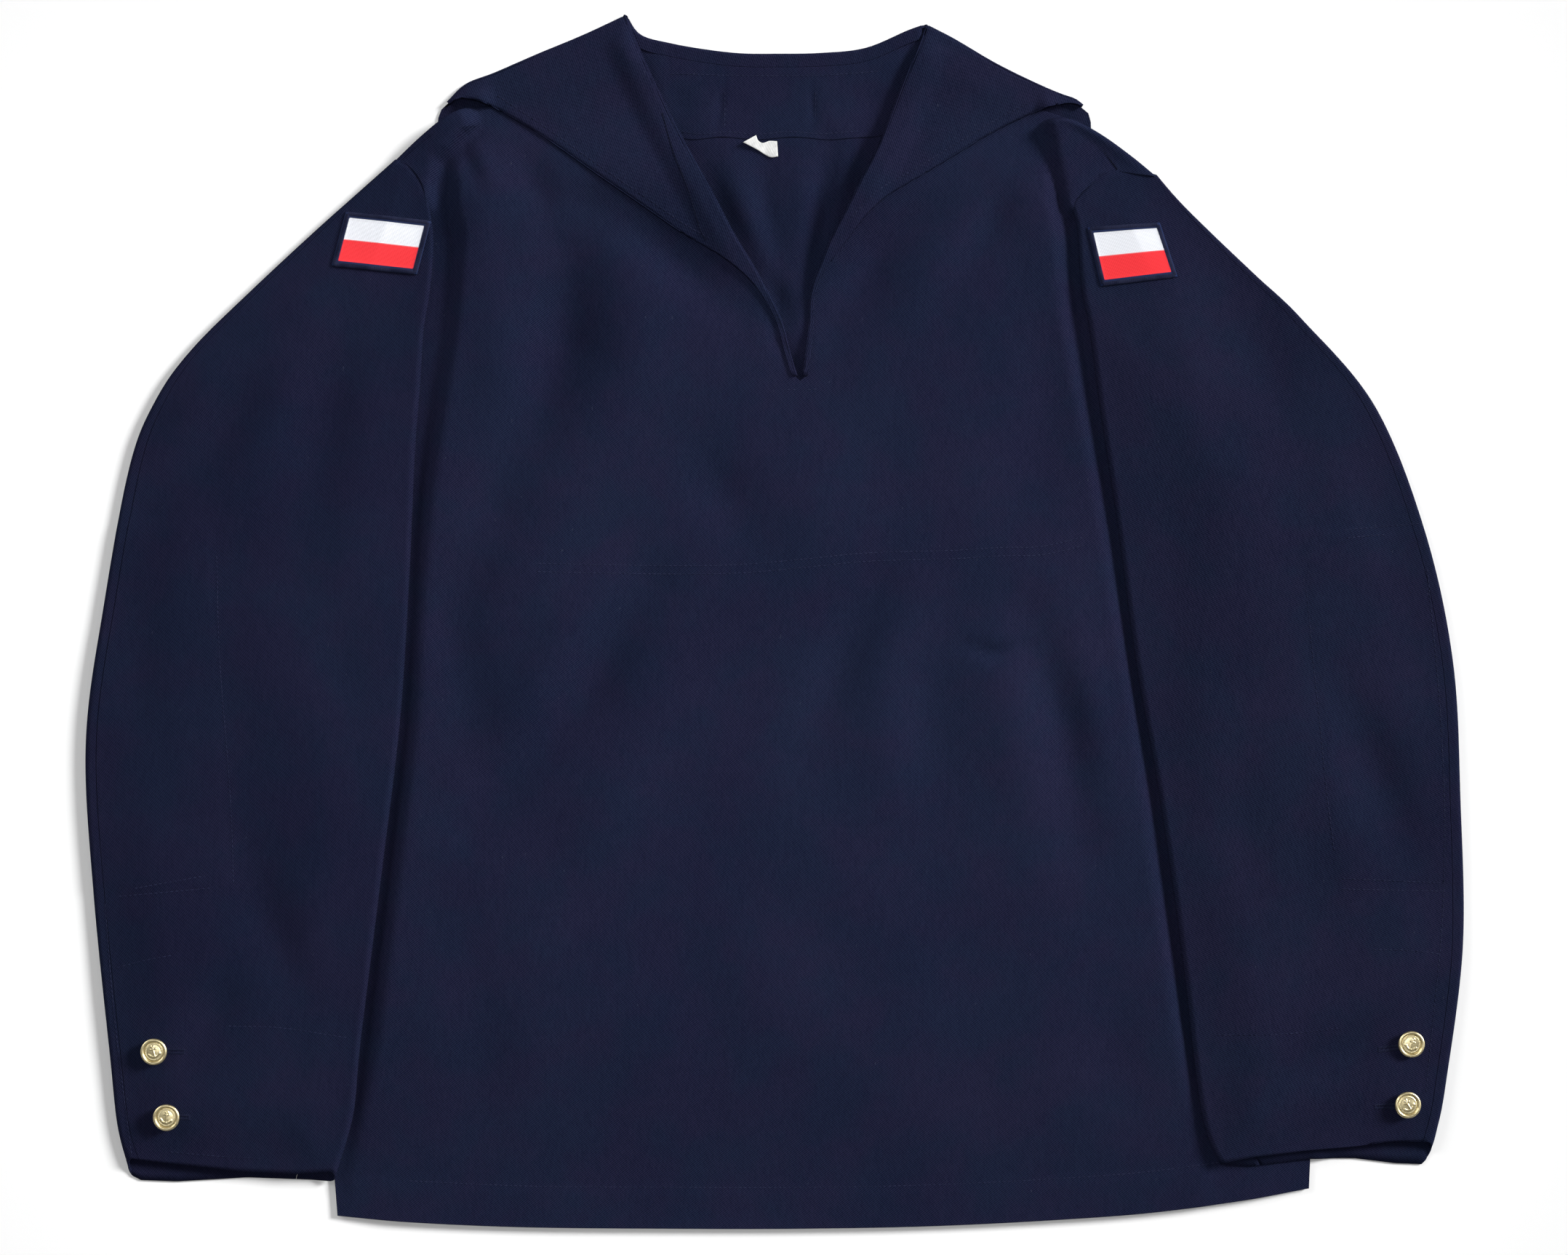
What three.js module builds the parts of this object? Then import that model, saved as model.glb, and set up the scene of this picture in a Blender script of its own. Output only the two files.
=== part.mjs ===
// A navy sailor jumper laid flat on its back, sleeves folded down along the body.
// Millimetres. X is across the body, Y runs from hem to collar, Z is up from the surface.
// The origin is on the surface, under the middle of the garment's outline.
import * as THREE from 'three';

// Driving dimensions
const CLOTH = 1.0;            // thickness of the body and sleeve cloth
const COLLAR_CLOTH = 1.2;     // the collar is cloth with its facing
const SEAM_GAP = 0.3;         // air between two pieces that touch
const LAYER_GAP = 1.6;        // front's middle above the back's middle where pressed together
const ARMHOLE_GAP = 0.7;      // air between the sleeve's head and the curved armhole seam
const BODY_PUFF = 2.0;        // extra height of the front in the middle of the chest
const CROWN = { clear: 10, width: 50 };   // the chest's rise starts this far from the sleeves
const HEM_Y = -366;           // lowest place of the hem
const SLEEVE_GAP_OUT = 2.2;   // air inside a sleeve where it lies on the surface
const SLEEVE_GAP_IN = 0.7;    // air inside a sleeve where it lies on the body
const FLAP = { left: -197, right: 184, bottom: 62, margin: 4, step: 38 };
const ROLL_RETURN = 8;        // how far the lapel turns back under its roll edge
const NECK_RETURN = 9;        // leaf on top of the neck roll, down to the stand's seam
const NECK_EDGE_IN = 1.4;     // the neck roll's top row lies this far in from its edge
const BUTTON = { radius: 8, shankRadius: 2.2, shank: 1.0, height: 3.4 };
const PATCH_CLOTH = 1.0;      // woven badge with its border
const LABEL_CLOTH = 0.6;
// Corners from the top left, clockwise
const PATCH_LEFT = [[-258, 246.5], [-208.5, 240.5], [-217.5, 209.5], [-267.5, 214.5]];
const PATCH_RIGHT = [[188, 236.5], [231, 240], [241.5, 207.5], [196, 202]];
const BUTTONS = {
  button_left_upper: [-374.5, -259],
  button_left_lower: [-367, -298.5],
  button_right_upper: [382.5, -254.5],
  button_right_lower: [380, -291],
};

// Helpers for numbers and curves
const clamp01 = (t) => Math.min(1, Math.max(0, t));
const smooth = (t) => clamp01(t) ** 2 * (3 - 2 * clamp01(t));
const mix = (a, b, t) => a + (b - a) * t;
const mixPoint = (p, q, t) => [mix(p[0], q[0], t), mix(p[1], q[1], t)];
const distance = (p, q) => Math.hypot(p[0] - q[0], p[1] - q[1]);
const toward = (p, q, d) => mixPoint(p, q, d / distance(p, q));

// A smooth plan curve through a few points, read by its share of length from 0 to 1
function curve(points) {
  const line = new THREE.CatmullRomCurve3(
    points.map(([x, y]) => new THREE.Vector3(x, y, 0)), false, 'centripetal');
  line.arcLengthDivisions = 400;
  return (t) => {
    const p = line.getPointAt(clamp01(t));
    return [p.x, p.y];
  };
}

// Plan direction square to a line, on its left when walking along it
function leftOf(line, u) {
  const step = 1e-3;
  const [p, q] = [line(u - step), line(u + step)];
  const length = distance(p, q);
  return [(p[1] - q[1]) / length, (q[0] - p[0]) / length];
}

// Value of a table of [y, x] rows at a height y, straight between rows
function along(table, y) {
  if (y <= table[0][0]) return table[0][1];
  for (let i = 1; i < table.length; i += 1) {
    const [y0, x0] = table[i - 1];
    const [y1, x1] = table[i];
    if (y <= y1) return mix(x0, x1, (y - y0) / (y1 - y0));
  }
  return table[table.length - 1][1];
}

// Coons patch between four plan curves: u runs along bottom and top, v along left and right
function coons(bottom, top, left, right) {
  const corner = [bottom(0), bottom(1), top(0), top(1)];
  return (u, v) => [0, 1].map((k) => (
    mix(bottom(u)[k], top(u)[k], v) + mix(left(v)[k], right(v)[k], u)
    - mix(mix(corner[0][k], corner[1][k], u), mix(corner[2][k], corner[3][k], u), v)));
}

// Outlines of the body
// Side and armhole edges, from the hem up, hidden under the sleeves: rows are [y, x]
const SIDE_LEFT = [[-359, -265], [-310, -268.5], [-196, -271.5], [-64, -273], [20, -272],
  [60, -268], [95, -257], [125, -241.5], [155, -226], [185, -213.5], [205, -209.5],
  [220, -207.5], [232, -205.5], [242, -206], [252.5, -210.4]];
const SIDE_RIGHT = [[-342.5, 322], [-302, 323.5], [-196, 324], [-64, 323], [0, 322], [50, 318],
  [85, 305], [115, 281], [145, 249], [175, 214], [197, 192], [215, 182.5], [230, 177.5],
  [240, 175.5], [251.5, 178]];
// Inner fold of each sleeve, rows are [y, x]
const INNER_LEFT = [[-334, -266], [-253.5, -250.5], [-154.5, -238], [-64, -227], [59, -220],
  [142.5, -214.5], [197.5, -209], [234, -207], [252.5, -211]];
const INNER_RIGHT = [[-327, 268], [-238, 250], [-108, 231.5], [17, 212], [96.5, 200],
  [151.5, 192], [195.5, 185], [236, 182], [251.5, 178.5]];
const ARC_LEFT = curve([[-230.5, 277.5], [-222.5, 275.5], [-216.5, 269.5], [-212.5, 261.5],
  [-211, 252.5]]);
const ARC_RIGHT = curve([[230, 268], [220.5, 271], [210, 272], [197, 269], [185, 259.5],
  [178.5, 251.5]]);
const SHOULDER_LEFT = curve([[-230.5, 277.5], [-210, 296], [-183.5, 305], [-139.5, 313.5],
  [-90, 319.5]]);
const SHOULDER_RIGHT = curve([[94.5, 319.5], [129, 314], [164, 307.5], [191, 296], [215, 280],
  [230, 268]]);
const SEAM_LEFT = curve([[-227, 278], [-208, 290], [-182, 298.5], [-139, 306], [-92, 311]]);
const SEAM_RIGHT = curve([[92, 309], [129, 304], [164, 301], [182, 294], [196, 285], [212, 272.8]]);
const HEM = [[-265, -359], [-223, -362.5], [-157, -365.5], [-64.5, -366.5], [14.5, -366.5],
  [93.5, -365], [173, -361], [225.5, -357], [283, -349.5], [322, -342.5]];
const VEE_BOTTOM = [14.5, 144.5];
const VEE_LEFT = curve([VEE_BOTTOM, [11.5, 148], [8.5, 165.5], [2, 184], [-5.5, 200], [-34, 236],
  [-51.5, 260.5], [-71.5, 290], [-92, 311]]);
const VEE_RIGHT = curve([VEE_BOTTOM, [17.5, 148], [19, 163.5], [20, 185], [22.5, 200], [43, 237],
  [58.5, 263.5], [76, 290], [92, 309]]);
const NECK_BACK = curve([[-90, 319.5], [-73.5, 303], [-57, 293], [-29.5, 292], [2, 292],
  [36.5, 292], [62, 293], [79.5, 303], [94.5, 319.5]]);
// Where the shoulder cloth folds up over the chest: rows are [y, x]
const CREST_LEFT = [[252.5, -211], [264.5, -212], [278.5, -208], [285, -200], [294, -192.5],
  [306, -178]];
const CREST_RIGHT = [[251.5, 178.5], [282, 171], [310, 165]];

// Heights of the layers, each the middle of its cloth
const shoulderHeight = (x) => (x < 0
  ? along([[-230.5, 277.5], [-210, 296], [-183.5, 305], [-139.5, 313.5], [-90, 319.5]], x)
  : along([[94.5, 319.5], [129, 314], [164, 307.5], [191, 296], [215, 280], [230, 268]], x));

// The collar's back flap lies under the back and lifts it, fully from a margin outside its edges
function flapLift(x, y) {
  const share = (inside) => smooth((inside + FLAP.margin + FLAP.step) / FLAP.step);
  return share(x - FLAP.left) * share(FLAP.right - x) * share(y - FLAP.bottom);
}

const FLAP_LIFT = COLLAR_CLOTH + SEAM_GAP * 1.5;
const backHeight = (x, y) => CLOTH / 2 + FLAP_LIFT * flapLift(x, y);

// Distance in from the body's side edge
const insideOf = (x, y) => (x < 0 ? x - along(SIDE_LEFT, y) : along(SIDE_RIGHT, y) - x);

// The front where it is pressed on the back: it rises to the flap's level well before the flap
function pressedHeight(x, y) {
  const level = 1 - (1 - smooth(insideOf(x, y) / 40)) * (1 - flapLift(x, y));
  return CLOTH / 2 + LAYER_GAP + FLAP_LIFT * level;
}

// Share of a sleeve's support that the body gives: 0 on the surface, 1 on the body
const SIDE_STEP = { clear: 3, wide: 12 };
const onBody = (x, y) => smooth((insideOf(x, y) + SIDE_STEP.clear + SIDE_STEP.wide) / SIDE_STEP.wide);

const sleeveUnder = (x, y) => mix(CLOTH / 2, pressedHeight(x, y) + CLOTH + SEAM_GAP * 1.5, onBody(x, y));

function sleeveOver(x, y) {
  const air = mix(SLEEVE_GAP_OUT, SLEEVE_GAP_IN, onBody(x, y));
  return sleeveUnder(x, y) + CLOTH + air + foldHeight(SLEEVE_FOLDS, x, y);
}

// Main folds: troughs and ridges along short lines
// from, bend and to are [x, y]; width is the distance to about half height; rise is below zero for a trough
const CHEST_FOLDS = [
  { from: [-106, 236], bend: [-112, 160], to: [-158, 80], width: 17, rise: -1.0 },
  { from: [-158, 80], bend: [-185, 0], to: [-167, -72], width: 14, rise: -0.7 },
  { from: [-92, 180], bend: [-104, 136], to: [-122, 90], width: 13, rise: 0.7 },
  { from: [-82, -5], bend: [-130, -84], to: [-158, -140], width: 14, rise: -0.8 },
  { from: [84, 30], bend: [52, -45], to: [58, -100], width: 13, rise: -0.7 },
  { from: [166, -12], bend: [154, -84], to: [172, -140], width: 12, rise: -0.8 },
  { from: [186, -12], bend: [176, -40], to: [166, -74], width: 10, rise: 0.6 },
];
const SLEEVE_FOLDS = [
  { from: [-300, 150], bend: [-336, 112], to: [-370, 70], width: 14, rise: -0.9 },
  { from: [-318, -156], bend: [-305, -186], to: [-294, -217], width: 12, rise: -0.7 },
  { from: [342, -46], bend: [366, -95], to: [384, -145], width: 13, rise: -0.8 },
  { from: [372, -240], bend: [344, -258], to: [312, -278], width: 11, rise: -0.7 },
];

// Distance in plan from a point to the straight line from a to b
function segmentDistance(a, b, x, y) {
  const t = clamp01(((x - a[0]) * (b[0] - a[0]) + (y - a[1]) * (b[1] - a[1])) / distance(a, b) ** 2);
  return distance(mixPoint(a, b, t), [x, y]);
}

// Sum of bell-shaped rises, exp(-0.7 (d / width)^2) at a distance d from each bent line
function foldHeight(folds, x, y) {
  return folds.reduce((sum, { from, bend, to, width, rise }) => {
    const d = Math.min(segmentDistance(from, bend, x, y), segmentDistance(bend, to, x, y));
    return sum + rise * Math.exp(-0.7 * (d / width) ** 2);
  }, 0);
}

// 1 on the raised shoulder beyond the crest, 0 on the chest
function crestShare(x, y) {
  const outside = x < 0 ? along(CREST_LEFT, y) - x : x - along(CREST_RIGHT, y);
  const start = x < 0 ? 243 : 242;
  return smooth(1 + outside / 8) * smooth((y - start) / 9);
}

function frontHeight(x, y) {
  const inward = Math.min(x - along(INNER_LEFT, y), along(INNER_RIGHT, y) - x);
  const fromHem = y - HEM_Y;
  const fromShoulder = shoulderHeight(x) - y;
  const middle = smooth((inward - CROWN.clear) / CROWN.width) * smooth(fromHem / CROWN.width)
    * smooth(fromShoulder / CROWN.width);
  const shaped = pressedHeight(x, y) + (BODY_PUFF + foldHeight(CHEST_FOLDS, x, y)) * middle;
  return mix(shaped, sleeveOver(x, y), crestShare(x, y));
}

// Solid from one or more grids of middle-surface points, [row][column] of [x, y, z].
// Grids that share points are joined there, and the open edges get a rim.
function sheet(grids, thickness) {
  const points = [];
  const index = new Map();
  const find = (p) => {
    const key = p.map((c) => Math.round(c * 1000)).join();
    if (!index.has(key)) {
      index.set(key, points.length);
      points.push(new THREE.Vector3(...p));
    }
    return index.get(key);
  };
  const triangles = [];
  for (const grid of grids) {
    const ids = grid.map((row) => row.map(find));
    for (let i = 0; i + 1 < ids.length; i += 1) {
      for (let j = 0; j + 1 < ids[i].length; j += 1) {
        const [a, b, c, d] = [ids[i][j], ids[i][j + 1], ids[i + 1][j + 1], ids[i + 1][j]];
        triangles.push([a, b, c], [a, c, d]);
      }
    }
  }
  const normals = points.map(() => new THREE.Vector3());
  const edges = new Map();
  for (const [a, b, c] of triangles) {
    const n = points[b].clone().sub(points[a]).cross(points[c].clone().sub(points[a]));
    for (const k of [a, b, c]) normals[k].add(n);
    for (const [p, q] of [[a, b], [b, c], [c, a]]) edges.set(`${p},${q}`, [p, q]);
  }
  const position = [];
  points.forEach((p, k) => {
    const n = normals[k].normalize().multiplyScalar(thickness / 2);
    position.push(p.x + n.x, p.y + n.y, p.z + n.z, p.x - n.x, p.y - n.y, p.z - n.z);
  });
  const faces = [];
  for (const [a, b, c] of triangles) faces.push(2 * a, 2 * b, 2 * c, 2 * a + 1, 2 * c + 1, 2 * b + 1);
  for (const [p, q] of edges.values()) {
    if (edges.has(`${q},${p}`)) continue;
    faces.push(2 * q, 2 * p, 2 * p + 1, 2 * q, 2 * p + 1, 2 * q + 1);
  }
  const geometry = new THREE.BufferGeometry();
  geometry.setAttribute('position', new THREE.Float32BufferAttribute(position, 3));
  geometry.setIndex(faces);
  return geometry;
}

const steps = (count, from = 0, to = 1) => Array.from({ length: count + 1 },
  (unused, i) => mix(from, to, i / count));
const grid = (vs, us, point) => vs.map((v) => us.map((u) => point(u, v)));

// Half turn rows from a lower point to an upper point over an edge
// lower and upper are [x, y, z]; out is the plan direction of the bulge
function turn(lower, upper, out, angles) {
  const radius = (upper[2] - lower[2]) / 2;
  return angles.map((degrees) => {
    const a = THREE.MathUtils.degToRad(degrees);
    const share = (1 + Math.sin(a)) / 2;
    return [
      mix(lower[0], upper[0], share) + out[0] * radius * Math.cos(a),
      mix(lower[1], upper[1], share) + out[1] * radius * Math.cos(a),
      mix(lower[2], upper[2], share),
    ];
  });
}
const TURN_ANGLES = [-90, -55, -20, 20, 55, 90];

// Ends a plan line exactly at a given point, moving only its last stretch
function pinned(line, end) {
  const last = line(1);
  return (t) => line(t).map((c, k) => c + (end[k] - last[k]) * t ** 8);
}

const straight = (p, q) => (t) => mixPoint(p, q, t);
const part = (line, from, to) => (t) => line(mix(from, to, t));
const side = (table) => curve(table.map(([y, x]) => [x, y]));

// Share of an edge's length at which it passes a value of x or y, for an edge that only grows
function shareAt(line, axis, value) {
  let low = 0;
  let high = 1;
  for (let k = 0; k < 30; k += 1) {
    const middle = (low + high) / 2;
    if (line(middle)[axis] < value) low = middle; else high = middle;
  }
  return low;
}

const hem = curve(HEM);
const sideLeft = side(SIDE_LEFT);
const sideRight = side(SIDE_RIGHT);

// The armhole edge above a height: side edge, then the arc to the shoulder
function armhole(sideLine, arc, arcEnd, fromY) {
  const lower = part(sideLine, shareAt(sideLine, 1, fromY), 1);
  const upper = part(arc, 1, arcEnd);
  const split = 0.84;
  return (t) => (t < split ? lower(t / split) : upper((t - split) / (1 - split)));
}

const raised = (patch, height) => (u, v) => {
  const [x, y] = patch(u, v);
  return [x, y, height(x, y)];
};

const LOWER_ROWS = steps(13);
const UPPER_ROWS = [0, 0.15, 0.3, 0.44, 0.56, 0.67, 0.76, 0.84, 0.87, 0.9, 0.93, 0.96, 1];
const HALF_COLUMNS = [0, 0.04, 0.09, 0.15, 0.24, 0.36, 0.5, 0.66, 0.82, 1];
const mirrored = (us) => us.map((u) => 1 - u).reverse();

// Front: two grids below the foot of the Vee, two beside it
function frontSheet() {
  const shareLeft = shareAt(sideLeft, 1, VEE_BOTTOM[1]);
  const shareRight = shareAt(sideRight, 1, VEE_BOTTOM[1]);
  const hemShare = shareAt(hem, 0, VEE_BOTTOM[0]);
  const levelLeft = straight(sideLeft(shareLeft), VEE_BOTTOM);
  const levelRight = straight(VEE_BOTTOM, sideRight(shareRight));
  const centre = straight(hem(hemShare), VEE_BOTTOM);
  const holeLeft = pinned(armhole(sideLeft, ARC_LEFT, 0.1, VEE_BOTTOM[1]), SEAM_LEFT(0));
  const holeRight = pinned(armhole(sideRight, ARC_RIGHT, 0.32, VEE_BOTTOM[1]), SEAM_RIGHT(1));
  const lowerLeft = coons(part(hem, 0, hemShare), levelLeft, part(sideLeft, 0, shareLeft), centre);
  const lowerRight = coons(part(hem, hemShare, 1), levelRight, centre, part(sideRight, 0, shareRight));
  const upperLeft = coons(levelLeft, SEAM_LEFT, holeLeft, VEE_LEFT);
  const upperRight = coons(levelRight, SEAM_RIGHT, VEE_RIGHT, holeRight);
  return sheet([
    grid(LOWER_ROWS, HALF_COLUMNS, raised(lowerLeft, frontHeight)),
    grid(LOWER_ROWS, mirrored(HALF_COLUMNS), raised(lowerRight, frontHeight)),
    grid(UPPER_ROWS, HALF_COLUMNS, raised(upperLeft, frontHeight)),
    grid(UPPER_ROWS, mirrored(HALF_COLUMNS), raised(upperRight, frontHeight)),
  ], CLOTH);
}

// Column of points where the back turns over the shoulder fold and runs to the shoulder seam
function shoulderTurn(fold, seam) {
  return (u) => {
    const [edge, top] = [fold(u), seam(u)];
    const out = toward([0, 0], [edge[0] - top[0], edge[1] - top[1]], 1);
    const low = backHeight(...edge);
    const high = frontHeight(...top);
    const radius = (high - low) / 2;
    const start = [0, 1].map((k) => edge[k] - out[k] * (radius + CLOTH / 2));
    const end = [0, 1].map((k) => top[k] + out[k] * SEAM_GAP * 1.5);
    return [...turn([...start, low], [...start, high], out, TURN_ANGLES), [...end, high]];
  };
}

const plan = (p) => [p[0], p[1]];
const transpose = (rows) => rows[0].map((unused, j) => rows.map((row) => row[j]));

// The back's neck edge, straight between its grid points
const NECK_CELLS = 10;
function neckLine(u) {
  const at = clamp01(u) * NECK_CELLS;
  const i = Math.min(Math.floor(at), NECK_CELLS - 1);
  return mixPoint(NECK_BACK(i / NECK_CELLS), NECK_BACK((i + 1) / NECK_CELLS), at - i);
}

// Back: three strips of columns, so that the middle one ends at the neck
function backSheet() {
  const turnLeft = shoulderTurn(SHOULDER_LEFT, SEAM_LEFT);
  const turnRight = shoulderTurn(SHOULDER_RIGHT, SEAM_RIGHT);
  const topLeft = (u) => plan(turnLeft(u)[0]);
  const topRight = (u) => plan(turnRight(u)[0]);
  const levelY = 196;
  const neck = [[-84, levelY], [88, levelY]];
  const hemShares = neck.map(([x]) => shareAt(hem, 0, x));
  const shareLeft = shareAt(sideLeft, 1, levelY);
  const shareRight = shareAt(sideRight, 1, levelY);
  const levels = [straight(sideLeft(shareLeft), neck[0]), straight(neck[0], neck[1]),
    straight(neck[1], sideRight(shareRight))];
  const seams = [straight(hem(hemShares[0]), neck[0]), straight(hem(hemShares[1]), neck[1])];
  const neckEdge = (u) => (u === 0 ? topLeft(1) : u === 1 ? topRight(0) : neckLine(u));
  const edges = [straight(neck[0], topLeft(1)), straight(neck[1], topRight(0))];
  const holeLeft = pinned(armhole(sideLeft, ARC_LEFT, 0, levelY), topLeft(0));
  const holeRight = pinned(armhole(sideRight, ARC_RIGHT, 0, levelY), topRight(1));
  const strips = [
    [HALF_COLUMNS, coons(part(hem, 0, hemShares[0]), levels[0], part(sideLeft, 0, shareLeft), seams[0]),
      coons(levels[0], topLeft, holeLeft, edges[0])],
    [steps(NECK_CELLS), coons(part(hem, hemShares[0], hemShares[1]), levels[1], seams[0], seams[1]),
      coons(levels[1], neckEdge, edges[0], edges[1])],
    [mirrored(HALF_COLUMNS), coons(part(hem, hemShares[1], 1), levels[2], seams[1],
      part(sideRight, 0, shareRight)), coons(levels[2], topRight, edges[1], holeRight)],
  ];
  const lowerRows = steps(12);
  const upperRows = [0, 0.3, 0.58, 0.84, 0.88, 0.92, 0.96, 1];
  const grids = strips.flatMap(([us, lower, upper]) => [
    grid(lowerRows, us, raised(lower, backHeight)), grid(upperRows, us, raised(upper, backHeight))]);
  const lastRow = (patch, us, turnOver) => transpose(us.map((u) => turnOver(u))
    .map((column, j) => [patch[patch.length - 1][j], ...column.slice(1)]));
  grids.push(lastRow(grids[1], HALF_COLUMNS, turnLeft));
  grids.push(lastRow(grids[5], mirrored(HALF_COLUMNS), turnRight));
  return sheet(grids, CLOTH);
}

// Sleeves: rungs from the outer edge to the inner fold, from the armhole down to the cuff
const RUNGS_LEFT = [
  { outer: [-230.5, 277.5], inner: [-211, 252.5] },
  { outer: [-249, 261.5], inner: [-207.5, 235] },
  { outer: [-280, 234], inner: [-207, 219] },
  { outer: [-316.5, 200], inner: [-209, 197.5] },
  { outer: [-352.5, 164.5], inner: [-212.5, 175.5] },
  { outer: [-374.5, 134], inner: [-214.5, 142.5] },
  { outer: [-390.5, 94], inner: [-217.5, 103] },
  { outer: [-406, 10.5], inner: [-221.5, 17] },
  { outer: [-417, -73], inner: [-227, -64] },
  { outer: [-412.5, -163], inner: [-238, -154.5] },
  { outer: [-402.5, -262], inner: [-250.5, -253.5] },
  { outer: [-398, -304], inner: [-255, -297.5] },
  { outer: [-391.5, -329], inner: [-266, -334.5] },
];
const RUNGS_RIGHT = [
  { outer: [230, 268], inner: [178.5, 251.5] },
  { outer: [244, 252.5], inner: [182, 236] },
  { outer: [263, 234], inner: [183, 216.5] },
  { outer: [290, 208.5], inner: [185, 195.5] },
  { outer: [318, 182], inner: [189, 175.5] },
  { outer: [362, 129.5], inner: [195.5, 127] },
  { outer: [392, 54.5], inner: [206, 57] },
  { outer: [409, -24.5], inner: [217, -24.5] },
  { outer: [413.5, -108], inner: [231.5, -108] },
  { outer: [415, -196], inner: [244, -196] },
  { outer: [404.5, -280], inner: [254.5, -284] },
  { outer: [399, -308], inner: [261, -313] },
  { outer: [396, -319], inner: [268, -327] },
];
// How far the two layers of the cuff's edge lie above the last rung, by share of its width
const CUFF_LEFT = { top: [[0, 5], [0.15, 3.3], [0.36, 1.5], [0.52, 0], [0.8, 0], [1, 3]],
  under: [[0, -5], [0.06, -8.3], [0.23, -8.2], [0.44, -5.6], [0.57, -3.9], [1, -3.5]] };
const CUFF_RIGHT = { top: [[0, 5], [0.17, 7.4], [0.36, 5.4], [0.61, 4.9], [0.85, 3.3], [1, 0.5]],
  under: [[0, -2], [0.04, -8.8], [0.17, -7.1], [0.36, -2.6], [0.58, -0.9], [0.85, -2.7], [1, -0.5]] };
const SLEEVE_LEFT = { rungs: RUNGS_LEFT, arc: ARC_LEFT, cuff: CUFF_LEFT, side: 1 };
const SLEEVE_RIGHT = { rungs: RUNGS_RIGHT, arc: ARC_RIGHT, cuff: CUFF_RIGHT, side: -1 };
const SEAM_IN = { head: 3.6, cuff: 8 };   // back seam on top, in from the outer edge
const UNDER_RETURN = 25;                  // the upper half runs on beneath the inner fold

function rungAt({ rungs }, v) {
  const at = v * (rungs.length - 1);
  const i = Math.min(Math.floor(at), rungs.length - 2);
  const row = (k) => rungs[Math.min(Math.max(k, 0), rungs.length - 1)];
  const spline = (key) => [0, 1].map((c) => {
    const [a, b, d, e] = [i - 1, i, i + 1, i + 2].map((k) => row(k)[key][c]);
    const t = at - i;
    return b + 0.5 * t * (d - a + t * (2 * a - 5 * b + 4 * d - e + t * (3 * (b - d) + e - a)));
  });
  return { outer: spline('outer'), inner: spline('inner') };
}

// The flattened tube's section at v, as a function of the length run from the outer edge:
// over the top for lengths above zero, beneath for lengths below zero
function sleeveSection(sleeve, v) {
  const { outer, inner } = rungAt(sleeve, v);
  const width = distance(outer, inner) - CLOTH;
  const half = (p) => (sleeveOver(...p) - sleeveUnder(...p)) / 2;
  const [halfOut, halfIn] = [half(toward(outer, inner, 2)), half(toward(inner, outer, 2))];
  const over = (Math.PI / 2 - 1) * (halfOut + halfIn) + width;
  const place = (q, face) => {
    const share = clamp01((q + CLOTH / 2) / (width + CLOTH));
    const base = toward(outer, inner, q + CLOTH / 2);
    const clear = leftOf(sleeve.arc, share).map((c) => -c * sleeve.side * ARMHOLE_GAP);
    const arc = sleeve.arc(share).map((c, k) => c + clear[k]);
    const chord = mixPoint(sleeve.rungs[0].outer, sleeve.rungs[0].inner, share);
    const cuff = mix(along(sleeve.cuff.under, share), along(sleeve.cuff.top, share), (face + 1) / 2);
    const plain = [0, 1].map((k) => base[k] + (arc[k] - chord[k]) * (1 - v) ** 7);
    plain[1] += cuff * v ** 20;
    return plain;
  };
  const point = (run) => {
    const length = Math.abs(run);
    const fromInner = over - length;
    if (length < halfOut * Math.PI / 2) {
      const a = run / halfOut;
      const p = place(halfOut * (1 - Math.cos(a)), Math.sin(a));
      const middle = (sleeveOver(...p) + sleeveUnder(...p)) / 2;
      return [...p, middle + halfOut * Math.sin(a)];
    }
    if (Math.abs(fromInner) < halfIn * Math.PI / 2) {
      const a = fromInner / halfIn;
      const p = place(width - halfIn * (1 - Math.cos(a)), Math.sin(a));
      const middle = (sleeveOver(...p) + sleeveUnder(...p)) / 2;
      return [...p, middle + halfIn * Math.sin(a) * Math.sign(run)];
    }
    const beneath = run < 0 || fromInner < 0;
    const q = fromInner > 0 ? length - (Math.PI / 2 - 1) * halfOut
      : width + fromInner + (Math.PI / 2 - 1) * halfIn;
    const p = place(q, beneath ? -1 : 1);
    return [...p, beneath ? sleeveUnder(...p) : sleeveOver(...p)];
  };
  const seam = mix(SEAM_IN.head, SEAM_IN.cuff, smooth(v / 0.5));
  const back = Math.min(UNDER_RETURN, width * 0.35);
  const bend = Math.PI / 2 - 1;
  const stepAt = (inside, from, to) => {
    let [low, high] = [0, width];
    for (let k = 0; k < 20; k += 1) {
      const middle = (low + high) / 2;
      if (insideOf(...place(middle, -1)) < inside) low = middle; else high = middle;
    }
    return Math.min(to, Math.max(from, low));
  };
  const overRun = (q) => q + bend * halfOut;
  const underRun = (q) => -(q + bend * halfOut);
  const returnRun = (q) => over + width - q + bend * halfIn;
  const flat = { from: halfOut + 1, to: width - halfIn - 1, turn: width - back };
  return { point, over, halfOut, halfIn, seam, back, stepAt, overRun, underRun, returnRun, flat };
}

// Distances in from the outer edge, with two at the step up onto the body
function withStep(section, from, to, before, after) {
  const room = (to - from) / (before + after + 1);
  const high = section.stepAt(-SIDE_STEP.clear, from + room * 0.9, to - room * 0.4);
  const low = section.stepAt(-SIDE_STEP.clear - SIDE_STEP.wide, from + room * 0.4, high - room * 0.35);
  return [...steps(before, from, low), ...steps(after, high, to)];
}

const QUARTER_ANGLES = [-90, -45, 0, 45, 90].map(THREE.MathUtils.degToRad);
const SLEEVE_ROWS = [0, 0.04, ...steps(17, 0.083, 0.93), 0.965, 1];

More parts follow.
